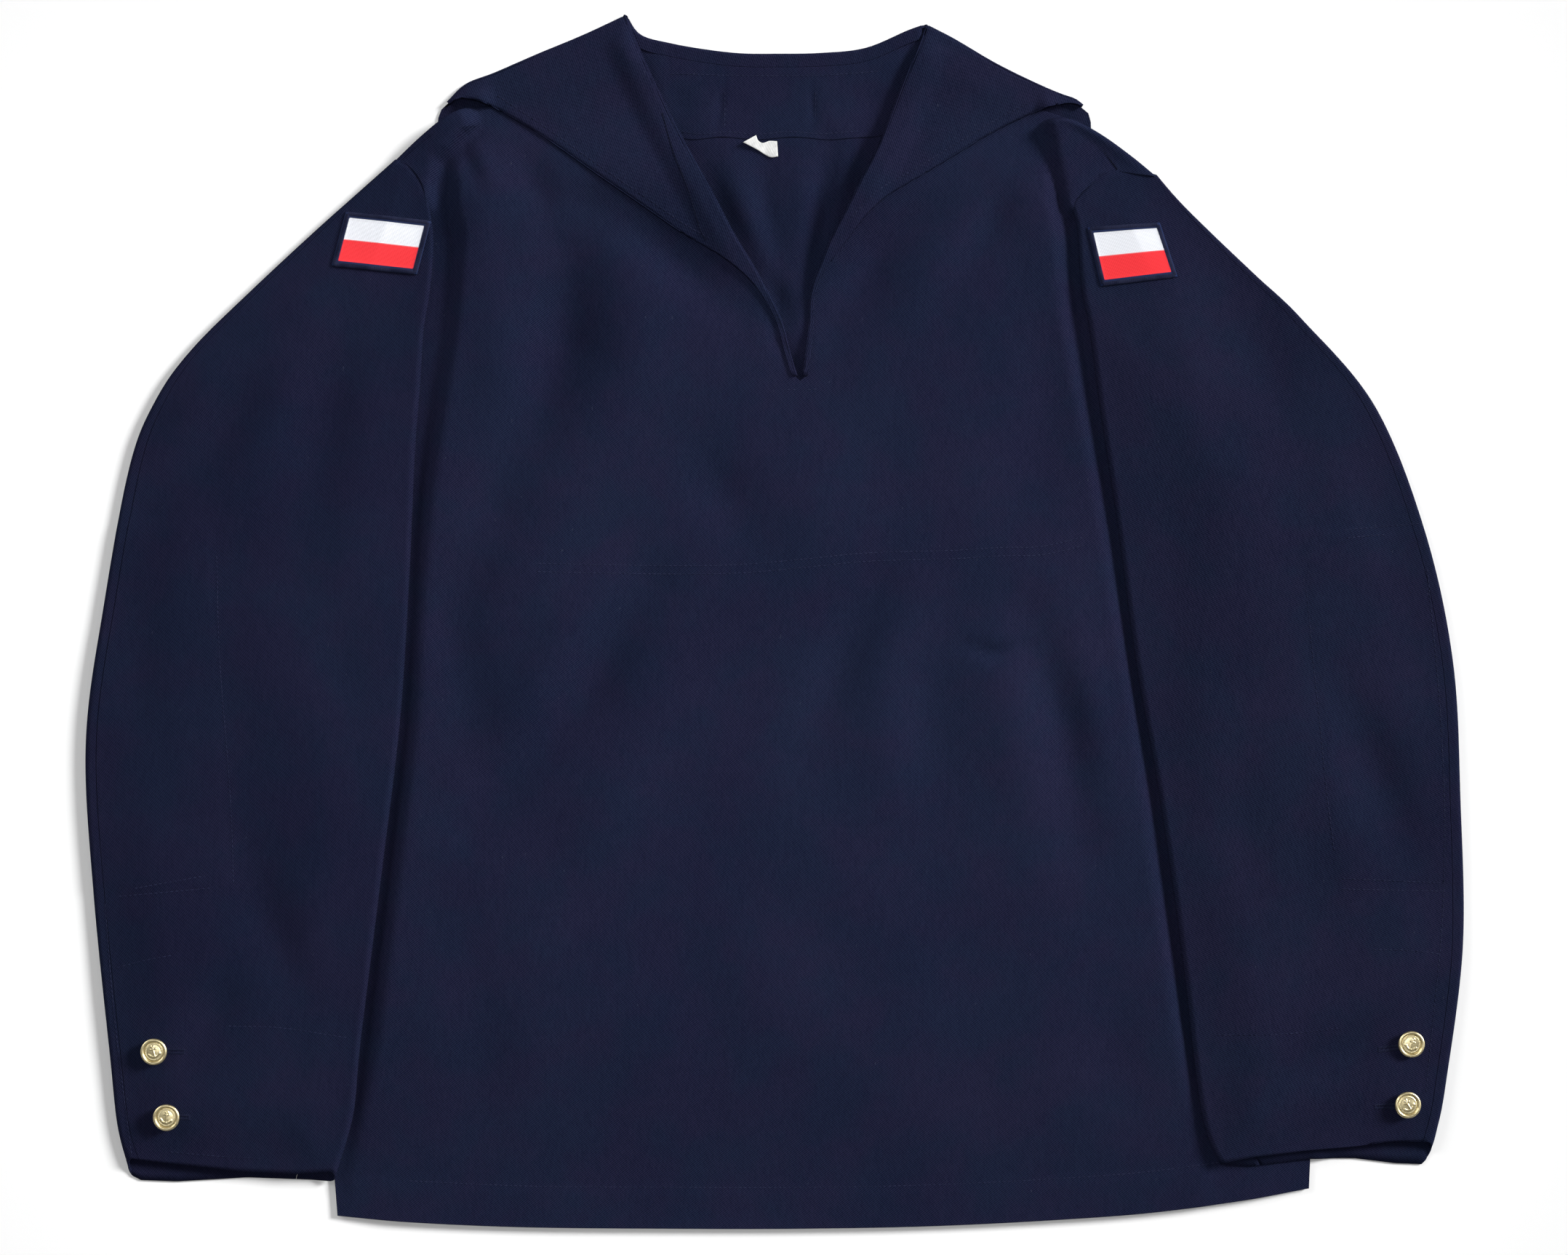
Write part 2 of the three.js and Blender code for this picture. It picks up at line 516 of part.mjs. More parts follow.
function sleeveUpper(sleeve) {
  return sheet([SLEEVE_ROWS.map((v) => {
    const s = sleeveSection(sleeve, v);
    const top = withStep(s, s.seam, s.flat.to, 4, 2).map(s.overRun);
    const beneath = withStep(s, s.flat.turn, s.flat.to, 1, 1).reverse().map(s.returnRun);
    const bend = QUARTER_ANGLES.map((a) => s.over + s.halfIn * a);
    return [...top, ...bend, ...beneath].map(s.point);
  })], CLOTH);
}

function sleeveUnderSheet(sleeve) {
  return sheet([SLEEVE_ROWS.map((v) => {
    const s = sleeveSection(sleeve, v);
    const beneath = withStep(s, s.flat.from, s.flat.turn - SEAM_GAP * 1.2, 4, 2).reverse();
    const bend = QUARTER_ANGLES.map((a) => s.halfOut * a);
    return [...beneath.map(s.underRun), ...bend, s.overRun(s.seam - SEAM_GAP * 1.2)].map(s.point);
  })], CLOTH);
}

// Collar
const FOLD_LEFT = curve([[-199, 314], [-188, 324.5], [-170.5, 331.5], [-144, 343], [-117.5, 354],
  [-90.5, 366.5]]);
const NECK_ROLL = curve([[-90.5, 366.5], [-82.5, 355], [-64.5, 349.5], [-25, 343.5], [1.5, 343],
  [27.5, 343.5], [54, 346.5], [80.5, 357.5], [90.5, 361]]);
const FOLD_RIGHT = curve([[90.5, 361], [107, 352.5], [133.5, 337], [159.5, 324.5], [176.5, 317.5],
  [186.5, 311]]);
const FOLD_HEIGHT = [[-199, 314], [-170.5, 331.5], [-117.5, 354], [-90.5, 366.5], [-82.5, 355],
  [-64.5, 349.5], [1.5, 343], [54, 346.5], [80.5, 357.5], [90.5, 361], [133.5, 337], [186.5, 311]];
// Roll edge of each lapel, rows are [y, x]
const ROLL_LEFT = [[188, 0], [200, -7.5], [217.5, -16.5], [238.5, -28.5], [264.5, -42.5],
  [288.5, -55], [308, -65], [327, -74], [366.5, -90.5]];
const ROLL_RIGHT = [[186.5, 20], [202.5, 22.5], [218, 30.5], [236.5, 40], [275, 58], [291, 63.5],
  [323, 75.5], [339, 82.5], [361, 90.5]];
const LAPEL_LEFT = curve([[-199, 314], [-190, 317.5], [-180, 317.5], [-171, 314], [-154, 302.5],
  [-136.5, 290.5], [-110.5, 271.5], [-67, 240], [-32, 218], [-10.5, 198], [-4, 188]]);
const LAPEL_RIGHT = curve([[186.5, 311], [182, 314.5], [176.5, 316], [162.5, 313], [146.5, 306],
  [105.5, 280.5], [63.5, 254], [40.5, 227], [27.5, 211], [24, 186.5]]);
const EDGE_HEIGHT = 3.4;    // leaf's top layer at the outer fold and the neck roll
const ROLL_LIFT = 1.9;      // lapel above its own return
const ROLL_FADE = 16;       // distance over which that lift dies away
const EDGE_FADE = 13;       // distance from the outer fold to the height on the chest
const collarLow = COLLAR_CLOTH / 2;

function lapelHeight(x, y) {
  const roll = x < 20 ? along(ROLL_LEFT, y) - x : x - along(ROLL_RIGHT, y);
  const on = frontHeight(x, y) + CLOTH / 2 + SEAM_GAP + COLLAR_CLOTH / 2
    + ROLL_LIFT * (1 - smooth((roll - ROLL_RETURN) / ROLL_FADE));
  return mix(EDGE_HEIGHT, on, smooth((along(FOLD_HEIGHT, x) - y) / EDGE_FADE));
}

// Leaf's turn at its outer fold: from the flap beneath up to the top layer
function leafTurn(line) {
  return (u) => {
    const out = leftOf(line, u);
    const edge = line(u).map((c, k) => c - out[k] * COLLAR_CLOTH / 2);
    const radius = (EDGE_HEIGHT - collarLow) / 2;
    const start = edge.map((c, k) => c - out[k] * radius);
    return turn([...start, collarLow], [...start, EDGE_HEIGHT], out, [-90, -45, 0, 45, 90]);
  };
}

// One lapel from the outer fold to its tip, and its return under the roll edge.
// fold is the top row of points, from the outer corner to the roll; sign is 1 on the left
function lapel(fold, roll, outerEdge, sign) {
  const rows = [0, 0.08, 0.18, 0.3, 0.42, 0.54, 0.66, 0.78, 0.9, 1];
  const rollLine = side(roll);
  const inset = (ROLL_LIFT + COLLAR_CLOTH) / 2;
  const corner = plan(fold[fold.length - 1]);
  const rollIn = (t) => {
    const [x, y] = rollLine(1 - t);
    return mixPoint([x - sign * inset, y], corner, (1 - t) ** 12);
  };
  const outer = (t) => mixPoint(outerEdge(t), plan(fold[0]), (1 - t) ** 12);
  const foldLine = (u) => plan(fold[Math.round(u * (fold.length - 1))]);
  const patch = coons(straight(outer(1), rollIn(1)), foldLine, part(outer, 1, 0), part(rollIn, 1, 0));
  const us = steps(fold.length - 1);
  const leaf = rows.map((v) => us.map((u, j) => (
    v === 0 ? fold[j] : raised(patch, lapelHeight)(u, 1 - v))));
  const under = leaf.map((row, i) => {
    const edge = row[row.length - 1];
    const grow = smooth(rows[i] / 0.25);
    const room = mix(3, Math.min(ROLL_RETURN, 0.5 * distance(edge, row[0])), grow);
    const low = [edge[0], edge[1], edge[2] - mix(1.3, ROLL_LIFT, grow)];
    const curl = turn(low, edge, [sign * 0.92, 0.38], [90, 45, 0, -45, -90]);
    return [edge, ...curl.slice(1), [edge[0] - sign * room, edge[1] - 0.4 * room, low[2]]];
  });
  return { leaf, under };
}

const reversed = (grids) => grids.map((row) => [...row].reverse());

function collarSheet() {
  const sideCount = 7;
  const neckCount = 10;
  const columns = [
    ...steps(sideCount).slice(0, -1).map((u) => leafTurn(FOLD_LEFT)(u)),
    ...steps(neckCount).map((u) => leafTurn(NECK_ROLL)(u)),
    ...steps(sideCount).slice(1).map((u) => leafTurn(FOLD_RIGHT)(u)),
  ];
  const bend = transpose(columns);
  const topRow = bend[bend.length - 1];
  const last = columns.length - 1;
  const low = bend[0].map(plan);
  const lowLine = (u) => low[Math.round(u * last)];
  const bottom = straight([FLAP.left, FLAP.bottom], [FLAP.right, FLAP.bottom]);
  const flapPatch = coons(bottom, lowLine, straight(bottom(0), low[0]), straight(bottom(1), low[last]));
  const flap = grid(steps(7), steps(last), raised(flapPatch, () => collarLow));
  flap[flap.length - 1] = bend[0];
  const left = lapel(topRow.slice(0, sideCount + 1), ROLL_LEFT, LAPEL_LEFT, 1);
  const right = lapel(topRow.slice(sideCount + neckCount).reverse(), ROLL_RIGHT, LAPEL_RIGHT, -1);
  const neck = topRow.slice(sideCount + 1, sideCount + neckCount);
  const neckEdge = neck.map(([x, y, z]) => [x, y - (NECK_RETURN - COLLAR_CLOTH - NECK_EDGE_IN), z]);
  return sheet([flap, bend, [neck, neckEdge], left.leaf, left.under, reversed(right.leaf),
    reversed(right.under)], COLLAR_CLOTH);
}

// Stand between the back neck seam and the leaf's return, with its ends under the lapels
function standSheet() {
  const top = curve([[-66, 336.5], [-51.5, 333.5], [-25, 330.5], [1.5, 330], [27.5, 330.5],
    [54, 333.5], [66, 338]]);
  const seam = (u) => {
    const [x, y] = neckLine(mix(0.14, 0.86, u));
    return [x, y + SEAM_GAP * 2];
  };
  const patch = coons(seam, top, straight(seam(0), top(0)), straight(seam(1), top(1)));
  const rise = (u, v) => {
    const [x, y] = patch(u, v);
    return [x, y, mix(backHeight(x, y), EDGE_HEIGHT, smooth(v))];
  };
  return sheet([grid(steps(4), steps(14), rise)], CLOTH);
}

// What lies on a sleeve: a grid of its top points, moved up
function onSleeve(corners, thickness) {
  const [topLeft, topRight, bottomRight, bottomLeft] = corners;
  const patch = coons(straight(bottomLeft, bottomRight), straight(topLeft, topRight),
    straight(bottomLeft, topLeft), straight(bottomRight, topRight));
  const up = (CLOTH + thickness) / 2 + SEAM_GAP * 3;
  return sheet([grid(steps(4), steps(8), raised(patch, (x, y) => sleeveOver(x, y) + up))], thickness);
}

// Small folded label on the inside of the back, its left end bent askew
const LABEL_BOTTOM = curve([[-19.9, 288.7], [-11.8, 284.8], [-3.1, 280], [1.2, 280.5]]);
const LABEL_TOP = curve([[-12.1, 292.4], [-10.6, 289.8], [-8, 288.6], [-4.2, 289.8], [0.6, 289.6]]);
function labelSheet() {
  const patch = coons(LABEL_BOTTOM, LABEL_TOP, straight(LABEL_BOTTOM(0), LABEL_TOP(0)),
    straight(LABEL_BOTTOM(1), LABEL_TOP(1)));
  const up = (CLOTH + LABEL_CLOTH) / 2 + SEAM_GAP;
  return sheet([grid(steps(3), steps(7), raised(patch, (x, y) => backHeight(x, y) + up))], LABEL_CLOTH);
}

// Domed shank button: profile is [radius, height] from the cloth up
function button() {
  const { radius, shankRadius, shank, height } = BUTTON;
  const profile = [[0, 0], [shankRadius, 0], [shankRadius, shank], [radius * 0.9, shank],
    [radius, shank + 0.7], [radius, shank + 1.4], [radius * 0.87, shank + 1.9],
    [radius * 0.55, shank + height * 0.85], [0, shank + height]];
  const turned = new THREE.LatheGeometry(profile.map(([r, z]) => new THREE.Vector2(r, z)), 18);
  return turned.rotateX(Math.PI / 2);
}

// Materials, from the photograph's colours
const cloth = new THREE.MeshStandardMaterial({ color: 0x1c1f38, roughness: 0.92, metalness: 0 });
const collarCloth = new THREE.MeshStandardMaterial({ color: 0x1e2240, roughness: 0.92, metalness: 0 });
const patchCloth = new THREE.MeshStandardMaterial({ color: 0xd8d4d0, roughness: 0.85, metalness: 0 });
const brass = new THREE.MeshStandardMaterial({ color: 0xc9a15a, roughness: 0.35, metalness: 1 });
const labelCloth = new THREE.MeshStandardMaterial({ color: 0xe6e6e2, roughness: 0.9, metalness: 0 });

const jumper = new THREE.Group();
function add(name, geometry, material, at = [0, 0, 0]) {
  const mesh = new THREE.Mesh(geometry, material);
  mesh.name = name;
  mesh.position.set(...at);
  jumper.add(mesh);
}

add('back', backSheet(), cloth);
add('front', frontSheet(), cloth);
for (const [name, sleeve] of [['sleeve_left', SLEEVE_LEFT], ['sleeve_right', SLEEVE_RIGHT]]) {
  add(`${name}_upper`, sleeveUpper(sleeve), cloth);
  add(`${name}_under`, sleeveUnderSheet(sleeve), cloth);
}
add('collar', collarSheet(), collarCloth);
add('collar_stand', standSheet(), collarCloth);
add('flag_patch_left', onSleeve(PATCH_LEFT, PATCH_CLOTH), patchCloth);
add('flag_patch_right', onSleeve(PATCH_RIGHT, PATCH_CLOTH), patchCloth);
for (const [name, [x, y]] of Object.entries(BUTTONS)) {
  add(name, button(), brass, [x, y, sleeveOver(x, y) + CLOTH / 2 + SEAM_GAP]);
}
add('size_label', labelSheet(), labelCloth);

export default jumper;
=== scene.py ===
"""A navy sailor jumper laid flat on its back, sleeves folded down along the body.

Shapes are worked out in millimetres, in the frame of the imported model, and put into meshes in metres.
Every cloth panel is the middle surface of its cloth on a grid, given its thickness by Solidify.
"""

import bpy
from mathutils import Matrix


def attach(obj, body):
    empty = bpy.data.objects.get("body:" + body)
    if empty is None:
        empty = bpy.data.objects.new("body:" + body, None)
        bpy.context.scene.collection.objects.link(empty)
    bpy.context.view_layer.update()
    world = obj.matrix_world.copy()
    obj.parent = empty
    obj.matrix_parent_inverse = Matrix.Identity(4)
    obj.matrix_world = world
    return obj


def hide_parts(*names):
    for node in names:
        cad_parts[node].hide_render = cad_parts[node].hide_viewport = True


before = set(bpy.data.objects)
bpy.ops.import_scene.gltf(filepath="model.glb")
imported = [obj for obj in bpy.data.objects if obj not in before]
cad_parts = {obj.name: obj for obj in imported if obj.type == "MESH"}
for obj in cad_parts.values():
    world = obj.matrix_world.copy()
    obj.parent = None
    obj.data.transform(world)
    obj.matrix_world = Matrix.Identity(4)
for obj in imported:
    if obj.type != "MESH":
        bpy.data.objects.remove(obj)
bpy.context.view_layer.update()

import math

import bpy
import numpy as np

# Metres in a millimetre
MM = 0.001
# Thickness of the cloth, and the gaps between pieces and layers, in millimetres
CLOTH = 1.0
COLLAR_CLOTH = 1.2
BADGE_CLOTH = 0.8
LABEL_CLOTH = 0.5
SEAM_GAP = 0.3
LAYER_GAP = 1.6
# Air inside the body and the sleeves
BODY_PUFF = 8.4
SLEEVE_GAP_OUT = 3.6
SLEEVE_GAP_IN = 4.4
SLEEVE_PUFF = 3.4
# The collar's back flap, its returns, and how high its roll, the neck and its outer fold lie
FLAP = dict(left=-197, right=184, bottom=62, margin=4, step=38)
ROLL_RETURN = 8
NECK_RETURN = 9
ROLL_LIFT = 3.6
NECK_LIFT = 5.6
EDGE_HEIGHT = 3.4
# Second layers sewn on: the hem's depth, and the rise of hem and elbow patch
HEM_DEEP = 25
SECOND_RISE = 0.4
# How deep the creases are worked, as a share of their tables
CHEST_DEPTH = 1.3
NECK_DEPTH = 1.25
# Cells of the cloth's grids, and the distance of the row beside an edge
FRONT_CELL = 3.15
BACK_CELL = 4.0
SLEEVE_CELL = 3.0
COLLAR_CELL = 3.2
EDGE_ROW = 0.3
# Brass button: the rim's roll is a circle, and the face is dished inside it
BUTTON = dict(radius=8.0, face=5.9, roll=1.05, shank=1.0, rise=2.3, dish=0.55)


# Numbers and curves
def smooth(t):
    """Eases from 0 to 1 while t goes from 0 to 1: 3t squared less 2t cubed."""
    t = np.clip(t, 0, 1)
    return t * t * (3 - 2 * t)


def mix(a, b, t):
    """Straight from a at 0 to b at 1."""
    return a + (b - a) * t


def length_of(v):
    """Length of each vector, as a last axis of one."""
    return np.linalg.norm(v, axis=-1, keepdims=True)


def table(rows):
    """A function that reads (place, value) rows, straight between them."""
    places, values = np.array(rows, float).T
    return lambda x: np.interp(x, places, values)


def curve(points, samples=40):
    """Smooth line through the points, read by its share of length from 0 to 1.

    Each stretch is a cubic with a tangent at each point weighted by the root of its chords.
    """
    p = np.array(points, float)
    p = np.vstack([2 * p[0] - p[1], p, 2 * p[-1] - p[-2]])
    chord = np.diff(p, axis=0)
    knot = length_of(chord) ** 0.5
    slope = chord / knot
    tangent = (slope[:-1] * knot[1:] + slope[1:] * knot[:-1]) / (knot[:-1] + knot[1:])
    t = np.linspace(0, 1, samples, endpoint=False)[None, :, None]
    start, end = p[1:-2, None], p[2:-1, None]
    leave, arrive = (knot[1:-1] * tangent[:-1])[:, None], (knot[1:-1] * tangent[1:])[:, None]
    fine = ((2 * t ** 3 - 3 * t ** 2 + 1) * start + (t ** 3 - 2 * t ** 2 + t) * leave
            + (3 * t ** 2 - 2 * t ** 3) * end + (t ** 3 - t ** 2) * arrive)
    fine = np.vstack([fine.reshape(-1, p.shape[1]), p[-2][None]])
    run = np.concatenate([[0], np.cumsum(length_of(np.diff(fine, axis=0))[:, 0])])

    def line(share):
        at = np.clip(share, 0, 1) * run[-1]
        return np.stack([np.interp(at, run, axis) for axis in fine.T], -1)

    line.length = run[-1]
    return line


def straight(p, q):
    """Straight line from p to q, read by its share."""
    p, q = np.array(p, float), np.array(q, float)
    return lambda t: mix(p, q, np.asarray(t, float)[..., None])


def through(row):
    """Plan line straight through a row of points, evenly shared between them."""
    shares = np.linspace(0, 1, len(row))
    return lambda t: np.stack([np.interp(t, shares, row[:, 0]), np.interp(t, shares, row[:, 1])], -1)


def part(line, start, end):
    """The stretch of a line between two shares."""
    return lambda t: line(mix(start, end, np.asarray(t, float)))


def pinned(line, end):
    """The line with its last stretch moved, so that it ends exactly at a point."""
    shift = np.array(end, float) - line(1.0)
    return lambda t: line(t) + shift * np.asarray(t, float)[..., None] ** 8


def left_of(line, t):
    """Plan direction square to a line, on its left when walking along it."""
    step = 1e-3
    d = line(t + step) - line(t - step)
    return np.stack([-d[..., 1], d[..., 0]], -1) / length_of(d)


def share_at(line, axis, value):
    """Share of a line's length at which a coordinate that only grows passes a value."""
    shares = np.linspace(0, 1, 4001)
    return float(np.interp(value, line(shares)[:, axis], shares))


def coons(bottom, top, left, right):
    """Plan surface between four lines: the two ruled surfaces added, less the flat one of the corners."""
    corners = [bottom(0.0), bottom(1.0), top(0.0), top(1.0)]

    def patch(u, v):
        across, up = u[None, :, None], v[:, None, None]
        ruled = mix(bottom(u)[None], top(u)[None], up) + mix(left(v)[:, None], right(v)[:, None], across)
        return ruled - mix(mix(corners[0], corners[1], across), mix(corners[2], corners[3], across), up)

    return patch


def lifted(plan, z):
    """Plan points with their heights as a third coordinate."""
    return np.concatenate([plan, z[..., None]], -1)


def raised(plan, height):
    """Plan points at the heights that a function of x and y tells."""
    return lifted(plan, height(plan[..., 0], plan[..., 1]))


# Outlines of the body, hidden under the sleeves: rows are (y, x)
SIDE_LEFT = [(-359, -265), (-310, -268.5), (-196, -271.5), (-64, -273), (20, -272), (60, -268),
             (95, -257), (125, -241.5), (155, -228), (185, -218), (205, -214.5), (220, -213),
             (232, -212), (242, -211), (252.5, -210.8)]
SIDE_RIGHT = [(-342.5, 322), (-302, 323.5), (-196, 324), (-64, 323), (0, 322), (50, 318), (85, 305),
              (115, 281), (145, 249), (175, 218), (197, 198), (215, 190), (230, 186),
              (240, 183.5), (251.5, 179)]
# Inner fold of each sleeve, and the crest where the shoulder cloth rises: rows are (y, x)
INNER_LEFT = [(-334, -266), (-253.5, -250.5), (-154.5, -238), (-64, -227), (59, -220), (142.5, -214.5),
              (197.5, -209), (234, -207), (252.5, -211)]
INNER_RIGHT = [(-327, 268), (-238, 250), (-108, 231.5), (17, 212), (96.5, 200), (151.5, 192),
               (195.5, 185), (236, 182), (251.5, 178.5)]
CREST_LEFT = [(252.5, -211), (264.5, -212), (278.5, -208), (285, -200), (294, -192.5), (306, -178)]
CREST_RIGHT = [(251.5, 178.5), (282, 171), (310, 165)]
SHOULDER_LEFT = [(-230.5, 277.5), (-217.8, 289.5), (-203.7, 301.2), (-196.7, 305.8), (-187, 309.6),
                 (-174, 311), (-139.5, 314), (-90, 319.5)]
SHOULDER_RIGHT = [(94.5, 319.5), (129, 314), (164, 307.5), (191, 296), (215, 280), (230, 268)]
# Front edge of each elbow's second layer: rows are (y, x)
elbow_left = table([(-165, -329), (-20, -335.5), (60, -341)])
elbow_right = table([(-160, 337), (-104, 331.3), (-54, 326.5), (-28, 323.8), (19, 319), (60, 316)])
side_left, side_right = table(SIDE_LEFT), table(SIDE_RIGHT)
inner_left, inner_right = table(INNER_LEFT), table(INNER_RIGHT)
crest_left, crest_right = table(CREST_LEFT), table(CREST_RIGHT)
shoulder_edge = table(SHOULDER_LEFT + SHOULDER_RIGHT)

arc_left = curve([(-230.5, 277.5), (-222.5, 275.5), (-216.5, 269.5), (-212.5, 261.5), (-211, 252.5)])
arc_right = curve([(230, 268), (220.5, 271), (210, 272), (197, 269), (185, 259.5), (178.5, 251.5)])
fold_left = curve(SHOULDER_LEFT)
fold_right = curve(SHOULDER_RIGHT)
seam_left = curve([(-227, 276.5), (-208.5, 291), (-182.5, 299.5), (-139, 307.5), (-92, 313)])
seam_right = curve([(92, 313), (129, 307.5), (156, 303), (171, 299.5), (183, 293.5), (195, 284),
                    (206.5, 271.4)])
HEM = [(-265, -359), (-223, -362.5), (-157, -365.5), (-64.5, -366.5), (14.5, -366.5), (93.5, -365),
             (173, -361), (225.5, -357), (283, -349.5), (322, -342.5)]
hem, hem_edge = curve(HEM), table(HEM)
VEE_BOTTOM = (14.5, 144.5)
vee_left = curve([VEE_BOTTOM, (10.8, 148.5), (8.6, 154.2), (6.0, 163.7), (2.2, 179.5), (-3.8, 192),
                  (-9.2, 202), (-34, 236), (-51.5, 260.5), (-71.5, 290), (-92, 311)])
vee_right = curve([VEE_BOTTOM, (18.0, 148.5), (18.7, 154.2), (19.6, 163.7), (20.9, 179.5), (21, 192),
                   (22.7, 202), (26.2, 211), (41.5, 237), (58.5, 263.5), (76, 290), (92, 309)])
neck_back = curve([(-90, 319.5), (-73.5, 303), (-57, 293), (-29.5, 292), (2, 292), (36.5, 292),
                   (62, 293), (79.5, 303), (94.5, 319.5)])
edge_left = curve([(x, y) for y, x in SIDE_LEFT])
edge_right = curve([(x, y) for y, x in SIDE_RIGHT])

# Sleeves: rungs from the outer edge to the inner fold, from the armhole down to the cuff
RUNGS_LEFT = [
    ((-230.5, 277.5), (-211, 252.5)), ((-249, 261.5), (-207.5, 235)), ((-280, 234), (-207, 219)),
    ((-316.5, 200), (-209, 197.5)), ((-352.5, 164.5), (-212.5, 175.5)), ((-374.5, 134), (-214.5, 142.5)),
    ((-390.5, 94), (-217.5, 103)), ((-406, 10.5), (-221.5, 17)), ((-417, -73), (-227, -64)),
    ((-412.5, -163), (-238, -154.5)), ((-402.5, -262), (-250.5, -253.5)), ((-398, -304), (-255, -297.5)),
    ((-391.5, -329), (-266, -334.5)),
]
RUNGS_RIGHT = [
    ((230, 268), (178.5, 251.5)), ((244, 252.5), (182, 236)), ((263, 234), (183, 216.5)),
    ((290, 208.5), (185, 195.5)), ((318, 182), (189, 175.5)), ((362, 129.5), (195.5, 127)),
    ((392, 54.5), (206, 57)), ((409, -24.5), (217, -24.5)), ((413.5, -108), (231.5, -108)),
    ((415, -196), (244, -196)), ((404.5, -280), (254.5, -284)), ((399, -308), (261, -313)),
    ((396, -319), (268, -327)),
]
# Creases: troughs and ridges along a bent line
# columns: start, bend, end, half width, rise (below zero for a trough)
CHEST_CREASES = [
    ((-180, 296), (-178, 252), (-174, 190), 12, 2.6),
    ((150, 292), (156, 252), (160, 196), 12, 1.6),
    ((-122, 246), (-130, 168), (-172, 72), 17, -6.6),
    ((-168, 66), (-196, 0), (-176, -90), 14, -3.0),
    ((-78, 216), (-86, 150), (-130, 78), 17, 2.6),
    ((-172, 200), (-164, 150), (-160, 110), 15, 1.8),
    ((-76, 22), (-112, -40), (-186, -122), 13, -4.8),
    ((-104, 24), (-146, -44), (-196, -88), 12, 2.5),
    ((-50, -10), (-96, -96), (-140, -190), 17, 1.8),
    ((60, 20), (36, -30), (18, -78), 12, -3.0),
    ((84, 26), (66, -30), (66, -110), 14, 2.0),
    ((110, 0), (92, -60), (104, -130), 15, -1.8),
    ((150, 6), (172, -60), (184, -136), 12, -3.9),
    ((176, 10), (192, -50), (206, -120), 10, 2.0),
    ((138, -20), (142, -80), (160, -150), 14, 1.5),
    ((-46, 104), (-34, 78), (-16, 49), 14, -2.4),
    ((112, -14), (132, -20), (150, -14), 4, -2.0),
    ((-112, 254), (-62, 218), (-22, 184), 12, -4.2),
    ((-4, 186), (2, 172), (6, 160), 5, -1.8),
    ((118, 264), (62, 222), (34, 182), 11, -4.5),
    ((138, 250), (92, 206), (56, 160), 13, 2.2),
    ((146, 272), (128, 236), (98, 190), 9, -2.7),
    ((-158, 298), (-146, 264), (-136, 232), 10, -2.7),
    ((-192, 294), (-187, 279), (-179, 262), 5, -2.7),
    ((-183, 295), (-177, 280), (-170, 264), 5, 1.8),
    ((156, 196), (164, 130), (150, 60), 15, -2.7),
    ((-60, -170), (-40, -250), (-52, -340), 22, -1.8),
    ((96, -160), (120, -240), (112, -330), 24, -1.8),
    ((-190, -180), (-176, -260), (-186, -340), 18, -2.1),
    ((200, -190), (206, -260), (226, -330), 18, -1.8),
    ((24, 130), (30, 60), (22, -30), 22, 1.5),
]
SLEEVE_CREASES = [
    ((-290, 166), (-332, 118), (-376, 66), 12, -4.1),
    ((-318, 176), (-346, 144), (-374, 108), 10, 1.9),
    ((-316, -140), (-305, -186), (-286, -226), 13, -3.0),
    ((-322, -206), (-338, -234), (-356, -262), 10, -2.7),
    ((-240, 206), (-268, 140), (-286, 30), 18, -4.1),
    ((-262, 212), (-300, 150), (-316, 60), 17, 2.2),
    ((-300, 40), (-312, -20), (-302, -90), 18, 1.4),
    ((-246, 40), (-262, -20), (-250, -90), 14, -2.2),
    ((-372, 40), (-384, -40), (-376, -110), 14, -2.2),
    ((-284, -220), (-290, -270), (-302, -320), 12, -1.6),
    ((334, -30), (364, -95), (388, -160), 13, -3.8),
    ((318, -60), (340, -120), (354, -186), 14, 1.7),
    ((384, -226), (348, -258), (304, -286), 11, -3.5),
    ((380, -204), (350, -232), (300, -256), 11, 1.7),
    ((262, 206), (296, 156), (318, 84), 16, -3.0),
    ((228, 140), (242, 60), (244, -30), 15, -2.4),
    ((286, -40), (280, -120), (294, -200), 15, -2.2),
    ((236, 206), (248, 160), (256, 100), 12, 1.4),
    ((350, 100), (372, 40), (384, -30), 16, -1.9),
]
BACK_CREASES = [
    ((-52, 284), (-35, 250), (-14, 210), 7, -2.2),
    ((-31, 288), (-20, 252), (-5, 214), 6, 2.0),
    ((-8, 286), (-6, 250), (2, 216), 4, -1.6),
    ((12, 288), (17, 250), (12, 205), 7, 1.7),
    ((32, 288), (28, 250), (22, 206), 4.5, -2.2),
    ((45, 288), (40, 262), (34, 240), 5, 1.8),
    ((56, 288), (51, 268), (46, 252), 4, -1.2),
    ((-4, 208), (1, 194), (5, 180), 4, -2.4),
    ((17, 212), (16, 190), (14.5, 158), 5, 1.2),
]


def segment_near(a, b, x, y):
    """Distance from points to the straight line from a to b, and the share of its length there."""
    (ax, ay), (bx, by) = a, b
    dx, dy = bx - ax, by - ay
    t = np.clip(((x - ax) * dx + (y - ay) * dy) / (dx * dx + dy * dy), 0, 1)
    return np.hypot(x - ax - dx * t, y - ay - dy * t), t


def creases(rows, x, y):
    """Sum of bell-shaped rises round bent lines, full at the bend and a third as deep at the ends."""
    total = np.zeros(np.broadcast(x, y).shape)
    for start, bend, end, width, rise in rows:
        (first, t), (second, u) = segment_near(start, bend, x, y), segment_near(bend, end, x, y)
        near, fade = np.minimum(first, second), np.where(first < second, 1 - t, u)
        total += rise * (1 - 0.67 * smooth(fade)) * np.exp(-0.7 * (near / width) ** 2)
    return total


